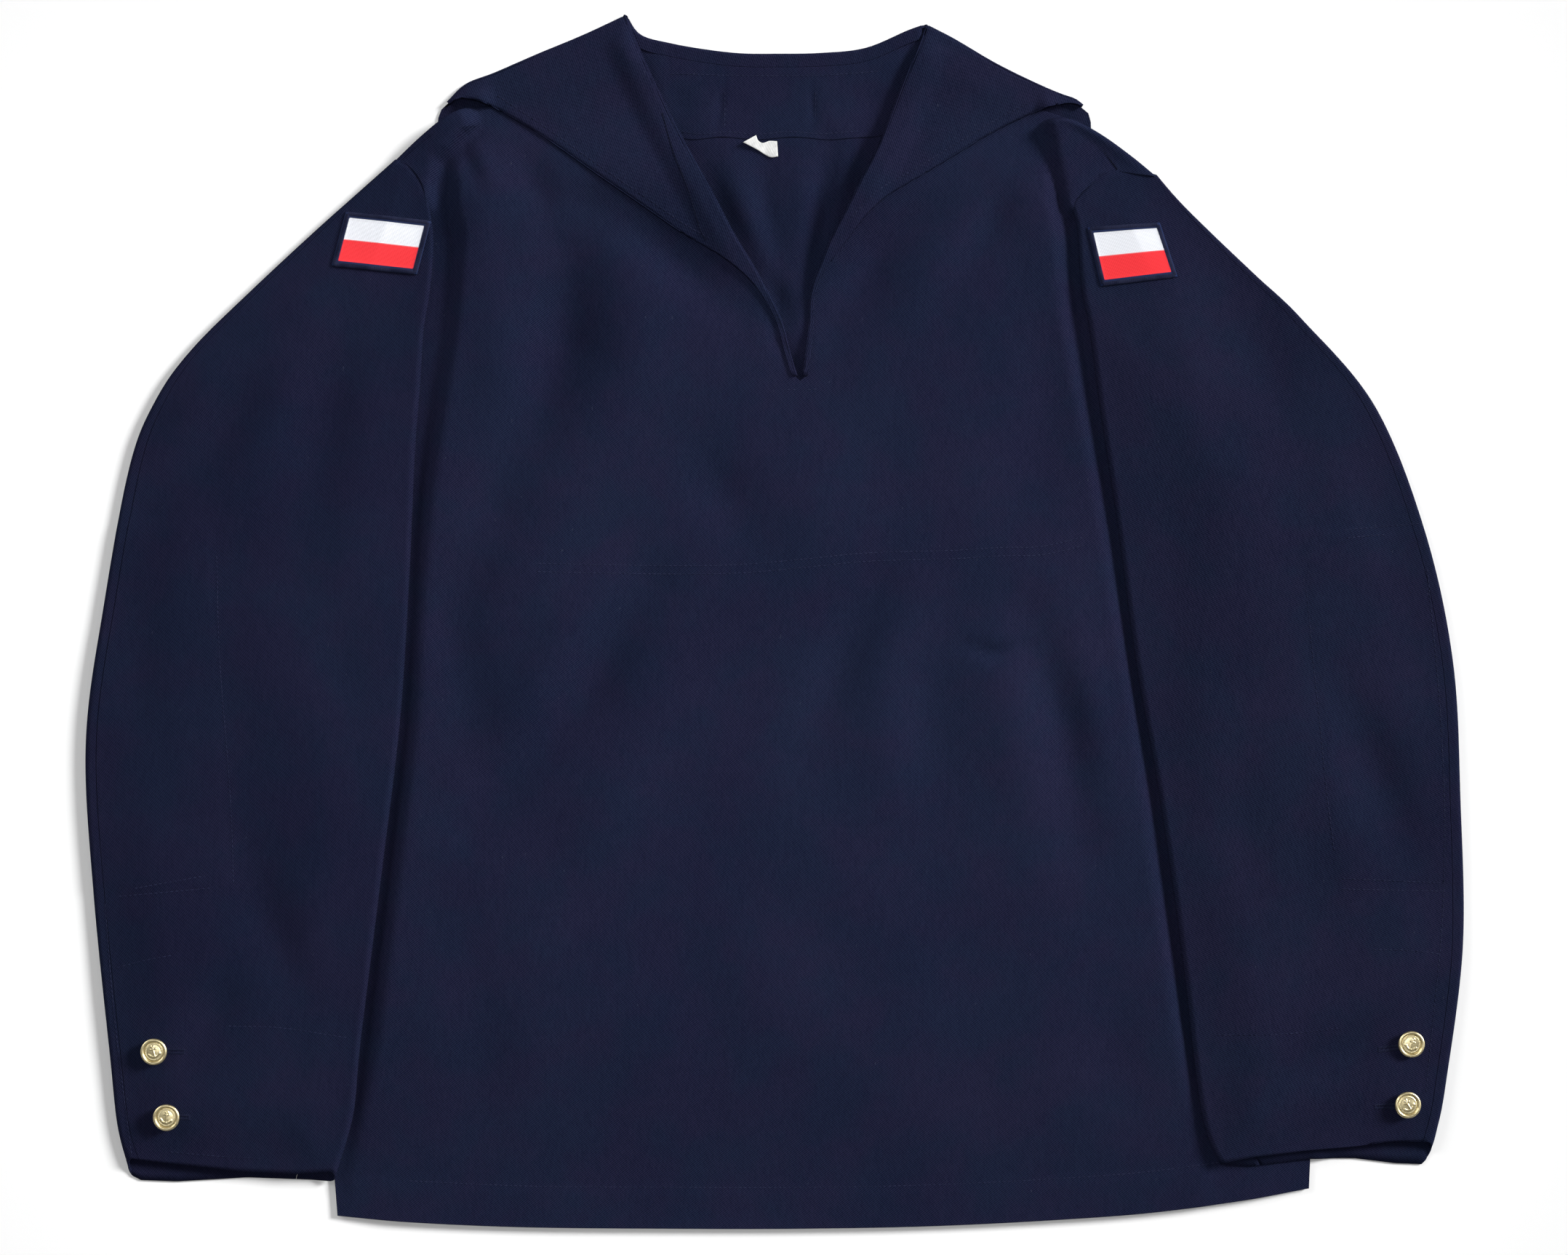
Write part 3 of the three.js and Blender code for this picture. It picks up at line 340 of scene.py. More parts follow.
def ripple(x, y, size):
    """Faint unevenness of laid cloth: three crossed waves of different lengths."""
    return size * (np.sin(x / 23 + y / 61 + 1.3) + np.sin(y / 31 - x / 47 + 0.4)
                   + np.sin((x + y) / 17 + 2.1) * 0.6) / 2.6


def sleeve_outline(rungs, arc):
    """Ends of the straight stretches round a sleeve: outer edge, cuff, inner fold and armhole."""
    outer, inner = np.array(rungs, float).transpose(1, 0, 2)
    ring = np.vstack([outer, inner[::-1], arc(np.linspace(1, 0, 8)[1:-1])])
    return list(zip(ring, np.roll(ring, -1, axis=0)))


OUTLINES = [sleeve_outline(RUNGS_LEFT, arc_left), sleeve_outline(RUNGS_RIGHT, arc_right)]


def sleeve_crown(x, y):
    """Rise of a sleeve's top layer with the distance from the nearest edge."""
    left, right = (np.min([segment_near(p, q, x, y)[0] for p, q in line], axis=0) for line in OUTLINES)
    return SLEEVE_PUFF * smooth((np.where(x < 0, left, right) - 1.5) / 42)


# Heights of the layers, each the middle of its cloth
LAYER_STEP = SEAM_GAP * 1.5
FLAP_LIFT = COLLAR_CLOTH + LAYER_STEP
# A sleeve's under layer steps onto the body just outside its edge, its top layer over a wider band
STEP_CLEAR, STEP_WIDE = 3, 12
CLIMB_OUT, CLIMB_IN = 56, 24
# Swell of the back at the foot of the neck opening: its middle, stretch and reach, and where it starts
SWELL = dict(x=14, y=168, wide=1.25, high=0.85, reach=100, start=20, ease=120)
# The neck opening, the widths over which its sides, foot and top ease, and how far the back stands up
OPENING = dict(x=2, half=78, sides=30, foot=150, rise=26, top=330, fall=36, stand=1.9)
# Beside a sleeve the front is pressed flat as far in as the first row says, and rises over the second's
# width; each is for the waist, the left of the chest and its right
VALLEY = [(1, 9, 4), (12, 13, 14)]
# Share of the front's rise that comes within the valley; the rest comes further in
STEEP = 0.74


def flap_lift(x, y):
    """1 over the collar's back flap, easing to 0 outside it."""
    m, s = FLAP["margin"], FLAP["step"]
    return (smooth((x - FLAP["left"] + m + s) / s) * smooth((FLAP["right"] - x + m + s) / s)
            * smooth((y - FLAP["bottom"] + m + s) / s))


def back_z(x, y):
    """Back laid on the flap, swelling up into the foot of the neck opening."""
    s, o = SWELL, OPENING
    far = np.hypot((x - s["x"]) * s["wide"], np.maximum(0, y - s["y"]) * s["high"])
    swell = smooth(1 - far / s["reach"]) * smooth((y - s["start"]) / s["ease"])
    open_neck = (smooth((o["half"] - np.abs(x - o["x"])) / o["sides"])
                 * smooth((y - o["foot"]) / o["rise"]) * smooth((o["top"] - y) / o["fall"]))
    return (CLOTH / 2 + FLAP_LIFT * flap_lift(x, y) + NECK_LIFT * swell
            + open_neck * (o["stand"] + NECK_DEPTH * creases(BACK_CREASES, x, y)))


def inside_of(x, y):
    """Distance in from the body's side edge."""
    return np.where(x < 0, x - side_left(y), side_right(y) - x)


def pressed_z(x, y):
    """The front where it is pressed on the back, risen to the flap's level well before the flap."""
    level = 1 - (1 - smooth(inside_of(x, y) / 40)) * (1 - flap_lift(x, y))
    return CLOTH / 2 + LAYER_GAP + FLAP_LIFT * level


def on_body(x, y):
    """1 on the body, easing to 0 outside its side edge."""
    return smooth((inside_of(x, y) + STEP_CLEAR + STEP_WIDE) / STEP_WIDE)


def sleeve_under_z(x, y):
    """A sleeve's under layer: on the floor, and stepped up onto the body."""
    return mix(CLOTH / 2, pressed_z(x, y) + CLOTH + LAYER_STEP, on_body(x, y))


def over_share(x, y):
    """0 to 1 over the width in which a sleeve's top layer climbs onto the body."""
    return smooth((inside_of(x, y) + CLIMB_OUT) / (CLIMB_OUT + CLIMB_IN))


def elbow(x, y):
    """1 on the second layer of cloth sewn over the back half of each elbow."""
    edge = np.where(x < 0, elbow_left(y) - x, x - elbow_right(y))
    top, foot = np.where(x < 0, 60, 56), np.where(x < 0, -162, -159)
    return smooth(edge / 3) * smooth((y - foot) / 3) * smooth((top - y) / 3)


def sleeve_over_z(x, y):
    """Top layer of a sleeve: the air inside it, a soft crown and its creases."""
    climb = over_share(x, y)
    level = mix(CLOTH / 2, pressed_z(x, y) + CLOTH + LAYER_STEP, climb)
    air = mix(SLEEVE_GAP_OUT, SLEEVE_GAP_IN, climb)
    form = (sleeve_crown(x, y) + creases(SLEEVE_CREASES, x, y) + ripple(x, y, 0.5)
            + SECOND_RISE * elbow(x, y))
    return np.maximum(level + CLOTH + air + form, sleeve_under_z(x, y) + CLOTH + SEAM_GAP)


def crest_share(x, y):
    """1 on the raised shoulder beyond the crest, 0 on the chest."""
    outside = np.where(x < 0, crest_left(y) - x, x - crest_right(y))
    return smooth(1 + outside / 8) * smooth((y - np.where(x < 0, 243, 242)) / 9)


def front_z(x, y):
    """Pressed height plus a crown in the middle of the chest with its creases."""
    inward = np.minimum(x - inner_left(y), inner_right(y) - x)
    high = smooth((y - 40) / 150)
    flat, valley = (mix(waist, np.where(x < 0, left, right), high) for waist, left, right in VALLEY)
    rise = STEEP * smooth((inward - flat) / valley) + (1 - STEEP) * smooth((inward - 5) / 90)
    middle = rise * smooth((y + 372) / 150) * smooth((shoulder_edge(x) - y) / 60)
    form = BODY_PUFF + CHEST_DEPTH * creases(CHEST_CREASES, x, y) + ripple(x, y, 0.8)
    turned_hem = SECOND_RISE * smooth((hem_edge(x) + HEM_DEEP - y) / 3) * smooth(inward / 12)
    laid = np.maximum(pressed_z(x, y) + form * middle + turned_hem, back_z(x, y) + CLOTH + SEAM_GAP)
    return mix(laid, sleeve_over_z(x, y), crest_share(x, y))


# Meshes
def mesh_object(name, points, faces, material):
    """An object at the origin, from points in millimetres and an array of quads or triangles."""
    mesh = bpy.data.meshes.new(name)
    mesh.from_pydata((points * MM).tolist(), [], faces.tolist())
    mesh.polygons.foreach_set("use_smooth", np.ones(len(faces), bool))
    mesh.materials.append(material)
    mesh.update()
    piece = bpy.data.objects.new(name, mesh)
    bpy.context.scene.collection.objects.link(piece)
    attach(piece, "root")
    return piece


def grid_faces(ids):
    """Quads between neighbouring points of a grid of point numbers."""
    return np.stack([ids[:-1, :-1], ids[:-1, 1:], ids[1:, 1:], ids[1:, :-1]], -1).reshape(-1, 4)


def cap_faces(ring):
    """Quads that close a ring with an even number of points, all from its first point."""
    odd = np.arange(1, len(ring) - 1, 2)
    return np.stack([np.full(len(odd), ring[0]), ring[odd], ring[odd + 1], ring[odd + 2]], -1)


def sheet(name, grids, thickness, material, spread=None):
    """Cloth from grids of middle-surface points, joined where they share points, thickened.

    spread is the map of a single grid: its points' places on the flat piece.
    """
    points = np.vstack([g.reshape(-1, 3) for g in grids])
    _, first, number = np.unique(np.round(points, 3), axis=0, return_index=True, return_inverse=True)
    number = number.reshape(-1)
    faces, start = [], 0
    for g in grids:
        count = g.shape[0] * g.shape[1]
        faces.append(grid_faces(number[start:start + count].reshape(g.shape[:2])))
        start += count
    piece = mesh_object(name, points[first], np.vstack(faces), material)
    if spread is not None:
        corner = np.zeros(len(piece.data.loops), np.int32)
        piece.data.loops.foreach_get("vertex_index", corner)
        places = piece.data.uv_layers.new(name="cut")
        places.data.foreach_set("uv", spread.reshape(-1, 2)[first][corner].ravel())
    solid = piece.modifiers.new("thickness", "SOLIDIFY")
    solid.thickness = thickness * MM
    solid.offset = 0
    solid.use_even_offset = False
    return piece


def spaced(length, cell):
    """Evenly spaced shares along a length, a cell apart."""
    return np.linspace(0, 1, max(2, round(length / cell) + 1))


def edged(length, cell):
    """Shares a cell apart, with one more row close to each end that keeps the edge crisp."""
    near = EDGE_ROW / length
    return np.unique(np.concatenate([spaced(length, cell), [near, 1 - near]]))


# Body
# Grid sizes: the front left and right of the Vee's foot, below and beside it, and the back's strips
FRONT_WIDE = (290, 306)
FRONT_LOW, FRONT_HIGH = 510, 190
BACK_WIDE = (186, 172, 236)
BACK_LOW, BACK_HIGH = 560, 130
# Share of an armhole's line that runs up the side edge
SIDE_SHARE = 0.84
# Share of each arc at which the front's armhole ends
ARC_ENDS = (0.1, 0.42)


def armhole(side, arc, arc_end, from_y):
    """The armhole edge above a height: the side edge, then the arc to the shoulder."""
    lower, upper = part(side, share_at(side, 1, from_y), 1), part(arc, 1, arc_end)

    def line(t):
        t = np.asarray(t, float)
        return np.where((t < SIDE_SHARE)[..., None], lower(t / SIDE_SHARE),
                        upper((t - SIDE_SHARE) / (1 - SIDE_SHARE)))

    return line


def turn_over(low, high, out, count=7):
    """Rows of a half turn from a lower point up to an upper one, bulging out in plan."""
    a = np.linspace(-math.pi / 2, math.pi / 2, count)[:, None, None]
    radius = (high[..., 2:] - low[..., 2:]) / 2
    bulge = np.concatenate([out * radius, np.zeros_like(radius)], -1)
    return mix(low, high, (1 + np.sin(a)) / 2) + bulge * np.cos(a)


def shoulder_turn(fold, seam, u):
    """Rows from the inner side of the back at the shoulder fold, over it, to the front's top line."""
    edge, top = fold(u), seam(u)
    out = (edge - top) / length_of(edge - top)
    low, high = back_z(*edge.T), front_z(*top.T)
    start = edge - out * ((high - low)[:, None] / 2 + CLOTH / 2)
    bend = turn_over(np.column_stack([start, low]), np.column_stack([start, high]), out)
    run = np.linspace(0, 1, 4)[1:, None, None]
    return np.concatenate([bend, mix(bend[-1], np.column_stack([top, high]), run)])


def front_panel(material):
    """Two patches below the foot of the Vee and two beside it, both turned over the shoulders."""
    foot = np.array(VEE_BOTTOM)
    share_l, share_r = (share_at(edge, 1, foot[1]) for edge in (edge_left, edge_right))
    hem_share = share_at(hem, 0, foot[0])
    level_l, level_r = straight(edge_left(share_l), foot), straight(foot, edge_right(share_r))
    centre = straight(hem(hem_share), foot)
    hole_l = pinned(armhole(edge_left, arc_left, ARC_ENDS[0], foot[1]), seam_left(0.0))
    hole_r = pinned(armhole(edge_right, arc_right, ARC_ENDS[1], foot[1]), seam_right(1.0))
    patches = [
        (coons(part(hem, 0, hem_share), level_l, part(edge_left, 0, share_l), centre), 0, FRONT_LOW),
        (coons(part(hem, hem_share, 1), level_r, centre, part(edge_right, 0, share_r)), 1, FRONT_LOW),
        (coons(level_l, seam_left, hole_l, vee_left), 0, FRONT_HIGH),
        (coons(level_r, seam_right, vee_right, hole_r), 1, FRONT_HIGH),
    ]
    us = [edged(wide, FRONT_CELL) for wide in FRONT_WIDE]
    grids = [raised(patch(us[half], edged(up, FRONT_CELL)), front_z) for patch, half, up in patches]
    for fold, seam, u, grid in ((fold_left, seam_left, us[0], grids[2]),
                                (fold_right, seam_right, us[1], grids[3])):
        grids.append(np.concatenate([grid[-1:], shoulder_turn(fold, seam, u)[-2::-1]]))
    return sheet("front_panel", grids, CLOTH, material)


def back_panel(material):
    """Three strips of patches from hem to shoulders, the middle one ending at the neck."""
    level_y, xs = 196, (-84, 88)
    neck = [np.array((x, level_y)) for x in xs]
    hems = [share_at(hem, 0, x) for x in xs]
    share_l, share_r = (share_at(edge, 1, level_y) for edge in (edge_left, edge_right))
    us = [spaced(wide, BACK_CELL) for wide in BACK_WIDE]
    rows = [through(shoulder_turn(fold_left, seam_left, us[0])[0]),
            through(shoulder_turn(fold_right, seam_right, us[2])[0])]
    start, end = rows[0](1.0) - neck_back(0.0), rows[1](0.0) - neck_back(1.0)

    def neck_line(t):
        t = np.asarray(t, float)[..., None]
        return neck_back(t[..., 0]) + start * (1 - t) ** 8 + end * t ** 8

    levels = [straight(edge_left(share_l), neck[0]), straight(*neck), straight(neck[1], edge_right(share_r))]
    seams = [straight(hem(s), p) for s, p in zip(hems, neck)]
    rises = [straight(neck[0], rows[0](1.0)), straight(neck[1], rows[1](0.0))]
    holes = [pinned(armhole(edge_left, arc_left, 0, level_y), rows[0](0.0)),
             pinned(armhole(edge_right, arc_right, 0, level_y), rows[1](1.0))]
    lower = [coons(part(hem, 0, hems[0]), levels[0], part(edge_left, 0, share_l), seams[0]),
             coons(part(hem, hems[0], hems[1]), levels[1], seams[0], seams[1]),
             coons(part(hem, hems[1], 1), levels[2], seams[1], part(edge_right, 0, share_r))]
    upper = [coons(levels[0], rows[0], holes[0], rises[0]),
             coons(levels[1], neck_line, rises[0], rises[1]),
             coons(levels[2], rows[1], rises[1], holes[1])]
    grids = [raised(patch(u, spaced(BACK_LOW, BACK_CELL)), back_z) for patch, u in zip(lower, us)]
    tops = [raised(patch(u, edged(BACK_HIGH, BACK_CELL)), back_z) for patch, u in zip(upper, us)]
    return sheet("back_panel", grids + tops, CLOTH, material)


# Sleeves
# How far the cuff's two edges lie above the last rung, by share of its width
CUFF_LEFT = dict(over=table([(0, 5), (0.15, 3.3), (0.36, 1.5), (0.52, 0), (0.8, 0), (1, 3)]),
                 under=table([(0, -5), (0.06, -8.3), (0.23, -8.2), (0.44, -5.6), (0.57, -3.9), (1, -3.5)]))
CUFF_RIGHT = dict(over=table([(0, 5), (0.17, 7.4), (0.36, 5.4), (0.61, 4.9), (0.85, 3.3), (1, 0.5)]),
                  under=table([(0, -2), (0.04, -8.8), (0.17, -7.1), (0.36, -2.6), (0.58, -0.9),
                               (0.85, -2.7), (1, -0.5)]))
SLEEVES = dict(left=dict(rungs=RUNGS_LEFT, arc=arc_left, cuff=CUFF_LEFT, side=1),
               right=dict(rungs=RUNGS_RIGHT, arc=arc_right, cuff=CUFF_RIGHT, side=-1))
# Back seam's distance from the outer edge at the head and the cuff, and the top half's return beneath
SEAM_HEAD, SEAM_CUFF = 3.6, 8
UNDER_RETURN = 25
# The head is drawn in from the armhole and pressed down at its seam
HEAD_TUCK, HEAD_DIP = 1.0, 1.2
# Columns round each folded edge, and how far the flat columns stay from it
TURN_COLUMNS = np.linspace(-1, 1, 9)[None]
TURN_CLEAR = 0.6
# Columns of the top, of the strip outside the back seam, and beneath in the upper and the under half
TOP_COLUMNS, STRIP_COLUMNS = edged(150, 2.5)[None], edged(6, 1.5)[None]
RETURN_COLUMNS, BENEATH_COLUMNS = np.linspace(0, 1, 9)[None], np.linspace(0, 1, 46)[None]


def rung_lines(rungs, v):
    """Outer and inner ends at shares v of the rungs: a cubic through neighbouring rungs."""
    p = np.array(rungs, float)
    p = np.concatenate([p[:1], p, p[-1:]])
    at = np.clip(v, 0, 1) * (len(rungs) - 1)
    i = np.minimum(at.astype(int), len(rungs) - 2)
    t = (at - i)[:, None, None]
    a, b, c, d = p[i], p[i + 1], p[i + 2], p[i + 3]
    return b + 0.5 * t * (c - a + t * (2 * a - 5 * b + 4 * c - d + t * (3 * (b - c) + d - a)))


def even_rows(rungs, cell):
    """Shares of the rungs at even distances down the middle of the sleeve."""
    fine = np.linspace(0, 1, 900)
    middle = rung_lines(rungs, fine).mean(axis=1)
    run = np.concatenate([[0], np.cumsum(length_of(np.diff(middle, axis=0))[:, 0])])
    return np.interp(np.linspace(0, run[-1], round(run[-1] / cell)), run, fine)


class SleeveTube:
    """The flattened tube, read by rows v down the sleeve and by the length run from its outer edge.

    Runs above zero go over the top and on beneath the inner fold; runs below zero go beneath.
    Both edges are half circles of half the height between the layers.
    """

    def __init__(self, sleeve, v):
        self.sleeve, self.v = sleeve, v[:, None]
        ends = rung_lines(sleeve["rungs"], v)
        self.outer, self.inner = ends[:, :1], ends[:, 1:]
        self.span = length_of(self.inner - self.outer)
        self.way = (self.inner - self.outer) / self.span
        self.width = self.span[..., 0] - CLOTH
        near = [self.outer + self.way * 2, self.inner - self.way * 2]
        halves = [(sleeve_over_z(p[..., 0], p[..., 1]) - sleeve_under_z(p[..., 0], p[..., 1])) / 2
                  for p in near]
        self.half_out, self.half_in = halves
        self.over = (math.pi / 2 - 1) * (self.half_out + self.half_in) + self.width
        self.seam = mix(SEAM_HEAD, SEAM_CUFF, smooth(self.v / 0.5))
        self.back = np.minimum(UNDER_RETURN, self.width * 0.35)

    def place(self, q, face):
        """Plan point at a distance q in from the outer edge; face is 1 on top and -1 beneath."""
        share = np.clip((q + CLOTH / 2) / (self.width + CLOTH), 0, 1)
        base = self.outer + self.way * (q + CLOTH / 2)[..., None]
        arc = self.sleeve["arc"](share)
        arc = arc + left_of(self.sleeve["arc"], share) * self.sleeve["side"] * HEAD_TUCK
        start, end = self.sleeve["rungs"][0]
        chord = straight(start, end)(share)
        cuff = self.sleeve["cuff"]
        drop = mix(cuff["under"](share), cuff["over"](share), (face + 1) / 2) * self.v ** 20
        plain = base + (arc - chord) * ((1 - self.v) ** 7)[..., None]
        return plain + np.stack([np.zeros_like(drop), drop], -1)

    def points(self, run):
        """Points at runs, an array of rows by columns."""
        length, from_inner = np.abs(run), self.over - np.abs(run)
        bend = math.pi / 2 - 1
        outer_edge = length < self.half_out * math.pi / 2
        inner_edge = ~outer_edge & (np.abs(from_inner) < self.half_in * math.pi / 2)
        a_out, a_in = run / self.half_out, from_inner / self.half_in
        q_flat = np.where(from_inner > 0, length - bend * self.half_out,
                          self.width + from_inner + bend * self.half_in)
        q = np.where(outer_edge, self.half_out * (1 - np.cos(a_out)),
                     np.where(inner_edge, self.width - self.half_in * (1 - np.cos(a_in)), q_flat))
        beneath = (run < 0) | (from_inner < 0)
        face = np.where(outer_edge, np.sin(a_out), np.where(inner_edge, np.sin(a_in), 1 - 2.0 * beneath))
        plan = self.place(q, face)
        x, y = plan[..., 0], plan[..., 1]
        over, under = sleeve_over_z(x, y), sleeve_under_z(x, y)
        half = np.where(outer_edge, self.half_out, self.half_in)
        round_z = (over + under) / 2 + half * face
        z = np.where(outer_edge | inner_edge, round_z, np.where(beneath, under, over))
        z = z - HEAD_DIP * (1 - self.v) ** 100 * on_body(x, y)
        return lifted(plan, z)


def sleeve_upper(name, sleeve, material):
    """From the back seam over the top, round the inner fold and back beneath."""
    tube = SleeveTube(sleeve, even_rows(sleeve["rungs"], SLEEVE_CELL))
    quarter = tube.half_in * math.pi / 2
    top = mix(tube.seam, tube.over - quarter - TURN_CLEAR, TOP_COLUMNS)
    bend = tube.over + quarter * TURN_COLUMNS
    under = mix(tube.over + quarter + TURN_CLEAR, tube.over + tube.back, RETURN_COLUMNS)
    return sheet(name, [tube.points(np.hstack([top, bend, under]))], CLOTH, material)


def sleeve_under(name, sleeve, material):
    """From the seam beneath, round the outer edge, to the back seam on top."""
    tube = SleeveTube(sleeve, even_rows(sleeve["rungs"], SLEEVE_CELL))
    quarter = tube.half_out * math.pi / 2
    beneath = mix(tube.back - tube.over + SEAM_GAP, -quarter - TURN_CLEAR, BENEATH_COLUMNS)
    bend = quarter * TURN_COLUMNS
    strip = mix(quarter + 0.4, tube.seam - SEAM_GAP, STRIP_COLUMNS)
    return sheet(name, [tube.points(np.hstack([beneath, bend, strip]))], CLOTH, material)


# Collar: a flap beneath the back, turned at its outer folds and the neck roll into two lapels
FOLD_LEFT = [(-199, 314), (-188, 324.5), (-170.5, 331.5), (-144, 343), (-117.5, 354), (-90.5, 366.5)]
NECK_ROLL = [(-90.5, 366.5), (-82.5, 355), (-64.5, 349.5), (-25, 343.5), (1.5, 343), (27.5, 343.5),
             (54, 346.5), (80.5, 357.5), (90.5, 361)]
FOLD_RIGHT = [(90.5, 361), (107, 352.5), (133.5, 337), (159.5, 324.3), (172.5, 318.8), (181, 315.8),
              (185.8, 312.2)]
# Roll edge of each lapel: rows are (y, x)
ROLL_LEFT = [(147.5, 11.9), (154.2, 9.6), (163.7, 7.1), (179.5, 3.4), (192.3, -2.2), (200, -6.2),
             (213.4, -13.2), (221, -18), (233.2, -25.4), (249, -33.6), (264.9, -42.2), (288.5, -55),
             (308, -65), (327, -74), (366.5, -90.5)]
ROLL_RIGHT = [(147.5, 17.0), (154.2, 17.7), (163.7, 18.6), (179.5, 19.8), (192.3, 19.9), (203, 21.9),
              (216, 26.9), (227, 31.4), (238, 37.2), (251, 43.9), (265, 50.8), (275, 56.2), (291, 63.5),
              (323, 75.5), (339, 82.5), (361, 90.5)]
# Outer edge of each lapel, from the outer fold down to its tip
LAPEL_LEFT = [(-199, 314), (-194, 317), (-187.5, 318.6), (-180.5, 317.9), (-171, 313.6), (-154, 302.5),
              (-136.5, 290.5), (-110.5, 271.5), (-73.5, 246), (-57.6, 235), (-41.8, 226), (-26, 215.6),
              (-13.8, 204.5), (-5.4, 192.3), (0.9, 179.5), (4.8, 163.7), (7.5, 154.2), (9.9, 147.5)]
LAPEL_RIGHT = [(185.8, 312.2), (181.3, 313.8), (174.5, 315), (165.5, 313.4), (155, 308.8), (137.5, 300),
               (105.5, 280.5), (84.9, 267.5), (69, 258.6), (61.2, 252.6), (53.2, 244.6), (46.9, 236.7),
               (37.4, 224), (28.8, 212), (24, 202), (22, 192.3), (22, 179.5), (20.7, 163.7),
               (19.7, 154.2), (19.0, 147.5)]
# Darts in the stand and the soft hollows round them
DARTS = [
    ((-33, 322), (-33.6, 310), (-37, 292), 2.2, -1.0),
    ((21.4, 322), (21.8, 312), (23, 298), 2.2, -1.0),
    ((-43, 322), (-44, 306), (-48, 292), 7, 0.6),
    ((32, 322), (34, 306), (38, 292), 7, 0.6),
    ((-4, 326), (-6, 310), (-6, 296), 12, 0.4),
    ((62, 326), (56, 314), (52, 300), 6, -0.9),
    ((-64, 326), (-58, 312), (-54, 300), 6, -0.9),
]
COLLAR_CREASES = [
    ((-150, 322), (-128, 304), (-116, 290), 6, 0.5),
    ((-96, 330), (-84, 300), (-70, 268), 9, -0.5),
    ((128, 326), (112, 306), (96, 290), 7, 0.5),
    ((104, 320), (88, 292), (70, 262), 8, -0.5),
]
leaf_top = table(FOLD_LEFT + NECK_ROLL[1:] + FOLD_RIGHT[1:])
roll_left, roll_right = table(ROLL_LEFT), table(ROLL_RIGHT)
FLAP_Z = COLLAR_CLOTH / 2
# Where the lapels' lift begins, and the widths over which it grows, ends past the return and meets the fold
LAPEL = dict(start=180, grow=76, past=16, fold=24)
# Columns of the outer folds and of the neck roll
FOLD_SHARES = edged(128, COLLAR_CELL)
NECK_SHARES = spaced(190, COLLAR_CELL)
# The stand's size and cell, across and up
STAND_GRID = [(170, 1.4), (40, 2.0)]


def lapel_z(x, y):
    """On the chest and risen near the roll edge, easing to the leaf's height at its outer fold."""
    roll = np.where(x < 20, roll_left(y) - x, x - roll_right(y))
    grow = smooth((y - LAPEL["start"]) / LAPEL["grow"])
    lift = ROLL_LIFT * (1 - smooth((roll - ROLL_RETURN) / LAPEL["past"])) * grow
    on = front_z(x, y) + CLOTH / 2 + SEAM_GAP + COLLAR_CLOTH / 2 + lift
    laid = on + creases(COLLAR_CREASES, x, y) + ripple(x, y, 0.2)
    return mix(EDGE_HEIGHT, laid, smooth((leaf_top(x) - y) / LAPEL["fold"]))


def leaf_turn(points, u, count=9):
    """Half turn of the leaf along its outer fold, from the flap beneath to the top layer."""
    line = curve(points)
    out = left_of(line, u)
    radius = (EDGE_HEIGHT - FLAP_Z) / 2
    start = line(u) - out * (COLLAR_CLOTH / 2 + radius)
    level = np.ones(len(start))
    return turn_over(np.column_stack([start, level * FLAP_Z]),
                     np.column_stack([start, level * EDGE_HEIGHT]), out, count)


def lapel(fold, roll_rows, outer_points, sign):
    """One lapel from the outer fold down to its tip, and its return under the roll edge."""
    roll_line = curve([(x, y) for y, x in roll_rows])
    outer_line = curve(outer_points)
    inset = np.array([sign * (ROLL_LIFT + COLLAR_CLOTH) / 2, 0])

    def roll(t):
        t = np.asarray(t, float)[..., None]
        edge = roll_line(1 - t[..., 0]) - inset * smooth((1 - t) / 0.3)
        return mix(edge, fold[-1, :2], (1 - t) ** 12)

    def outer(t):
        return mix(outer_line(t), fold[0, :2], (1 - np.asarray(t, float)[..., None]) ** 12)

    patch = coons(straight(outer(1.0), roll(1.0)), through(fold), part(outer, 1, 0), part(roll, 1, 0))
    v = spaced(roll_line.length, COLLAR_CELL)
    leaf = raised(patch(np.linspace(0, 1, len(fold)), 1 - v), lapel_z)
    leaf[0] = fold
    edge = leaf[:, -1]
    grow = smooth(v / 0.25)[:, None]
    foot = smooth((1 - v) / 0.3)[:, None]
    room = mix(3, np.minimum(ROLL_RETURN, 0.5 * length_of(edge[:, :2] - leaf[:, 0, :2])), grow)
    low = edge - mix(1.3, ROLL_LIFT, grow * foot) * [0, 0, 1]
    curl = turn_over(low, edge, np.array([sign * 0.92, 0.38]), 9)[::-1]
    end = low - room * [sign, 0.4, 0]
    return leaf, np.concatenate([curl, end[None]]).transpose(1, 0, 2)


def neck_strip():
    """Rows on top of the neck roll, from the leaf's edge down to the stand."""
    edge = leaf_turn(NECK_ROLL, NECK_SHARES[1:-1])[-1]
    deep = NECK_RETURN - COLLAR_CLOTH - 1.4
    return edge - deep * edged(deep, 2.0)[1:, None, None] * [0, 1, 0]


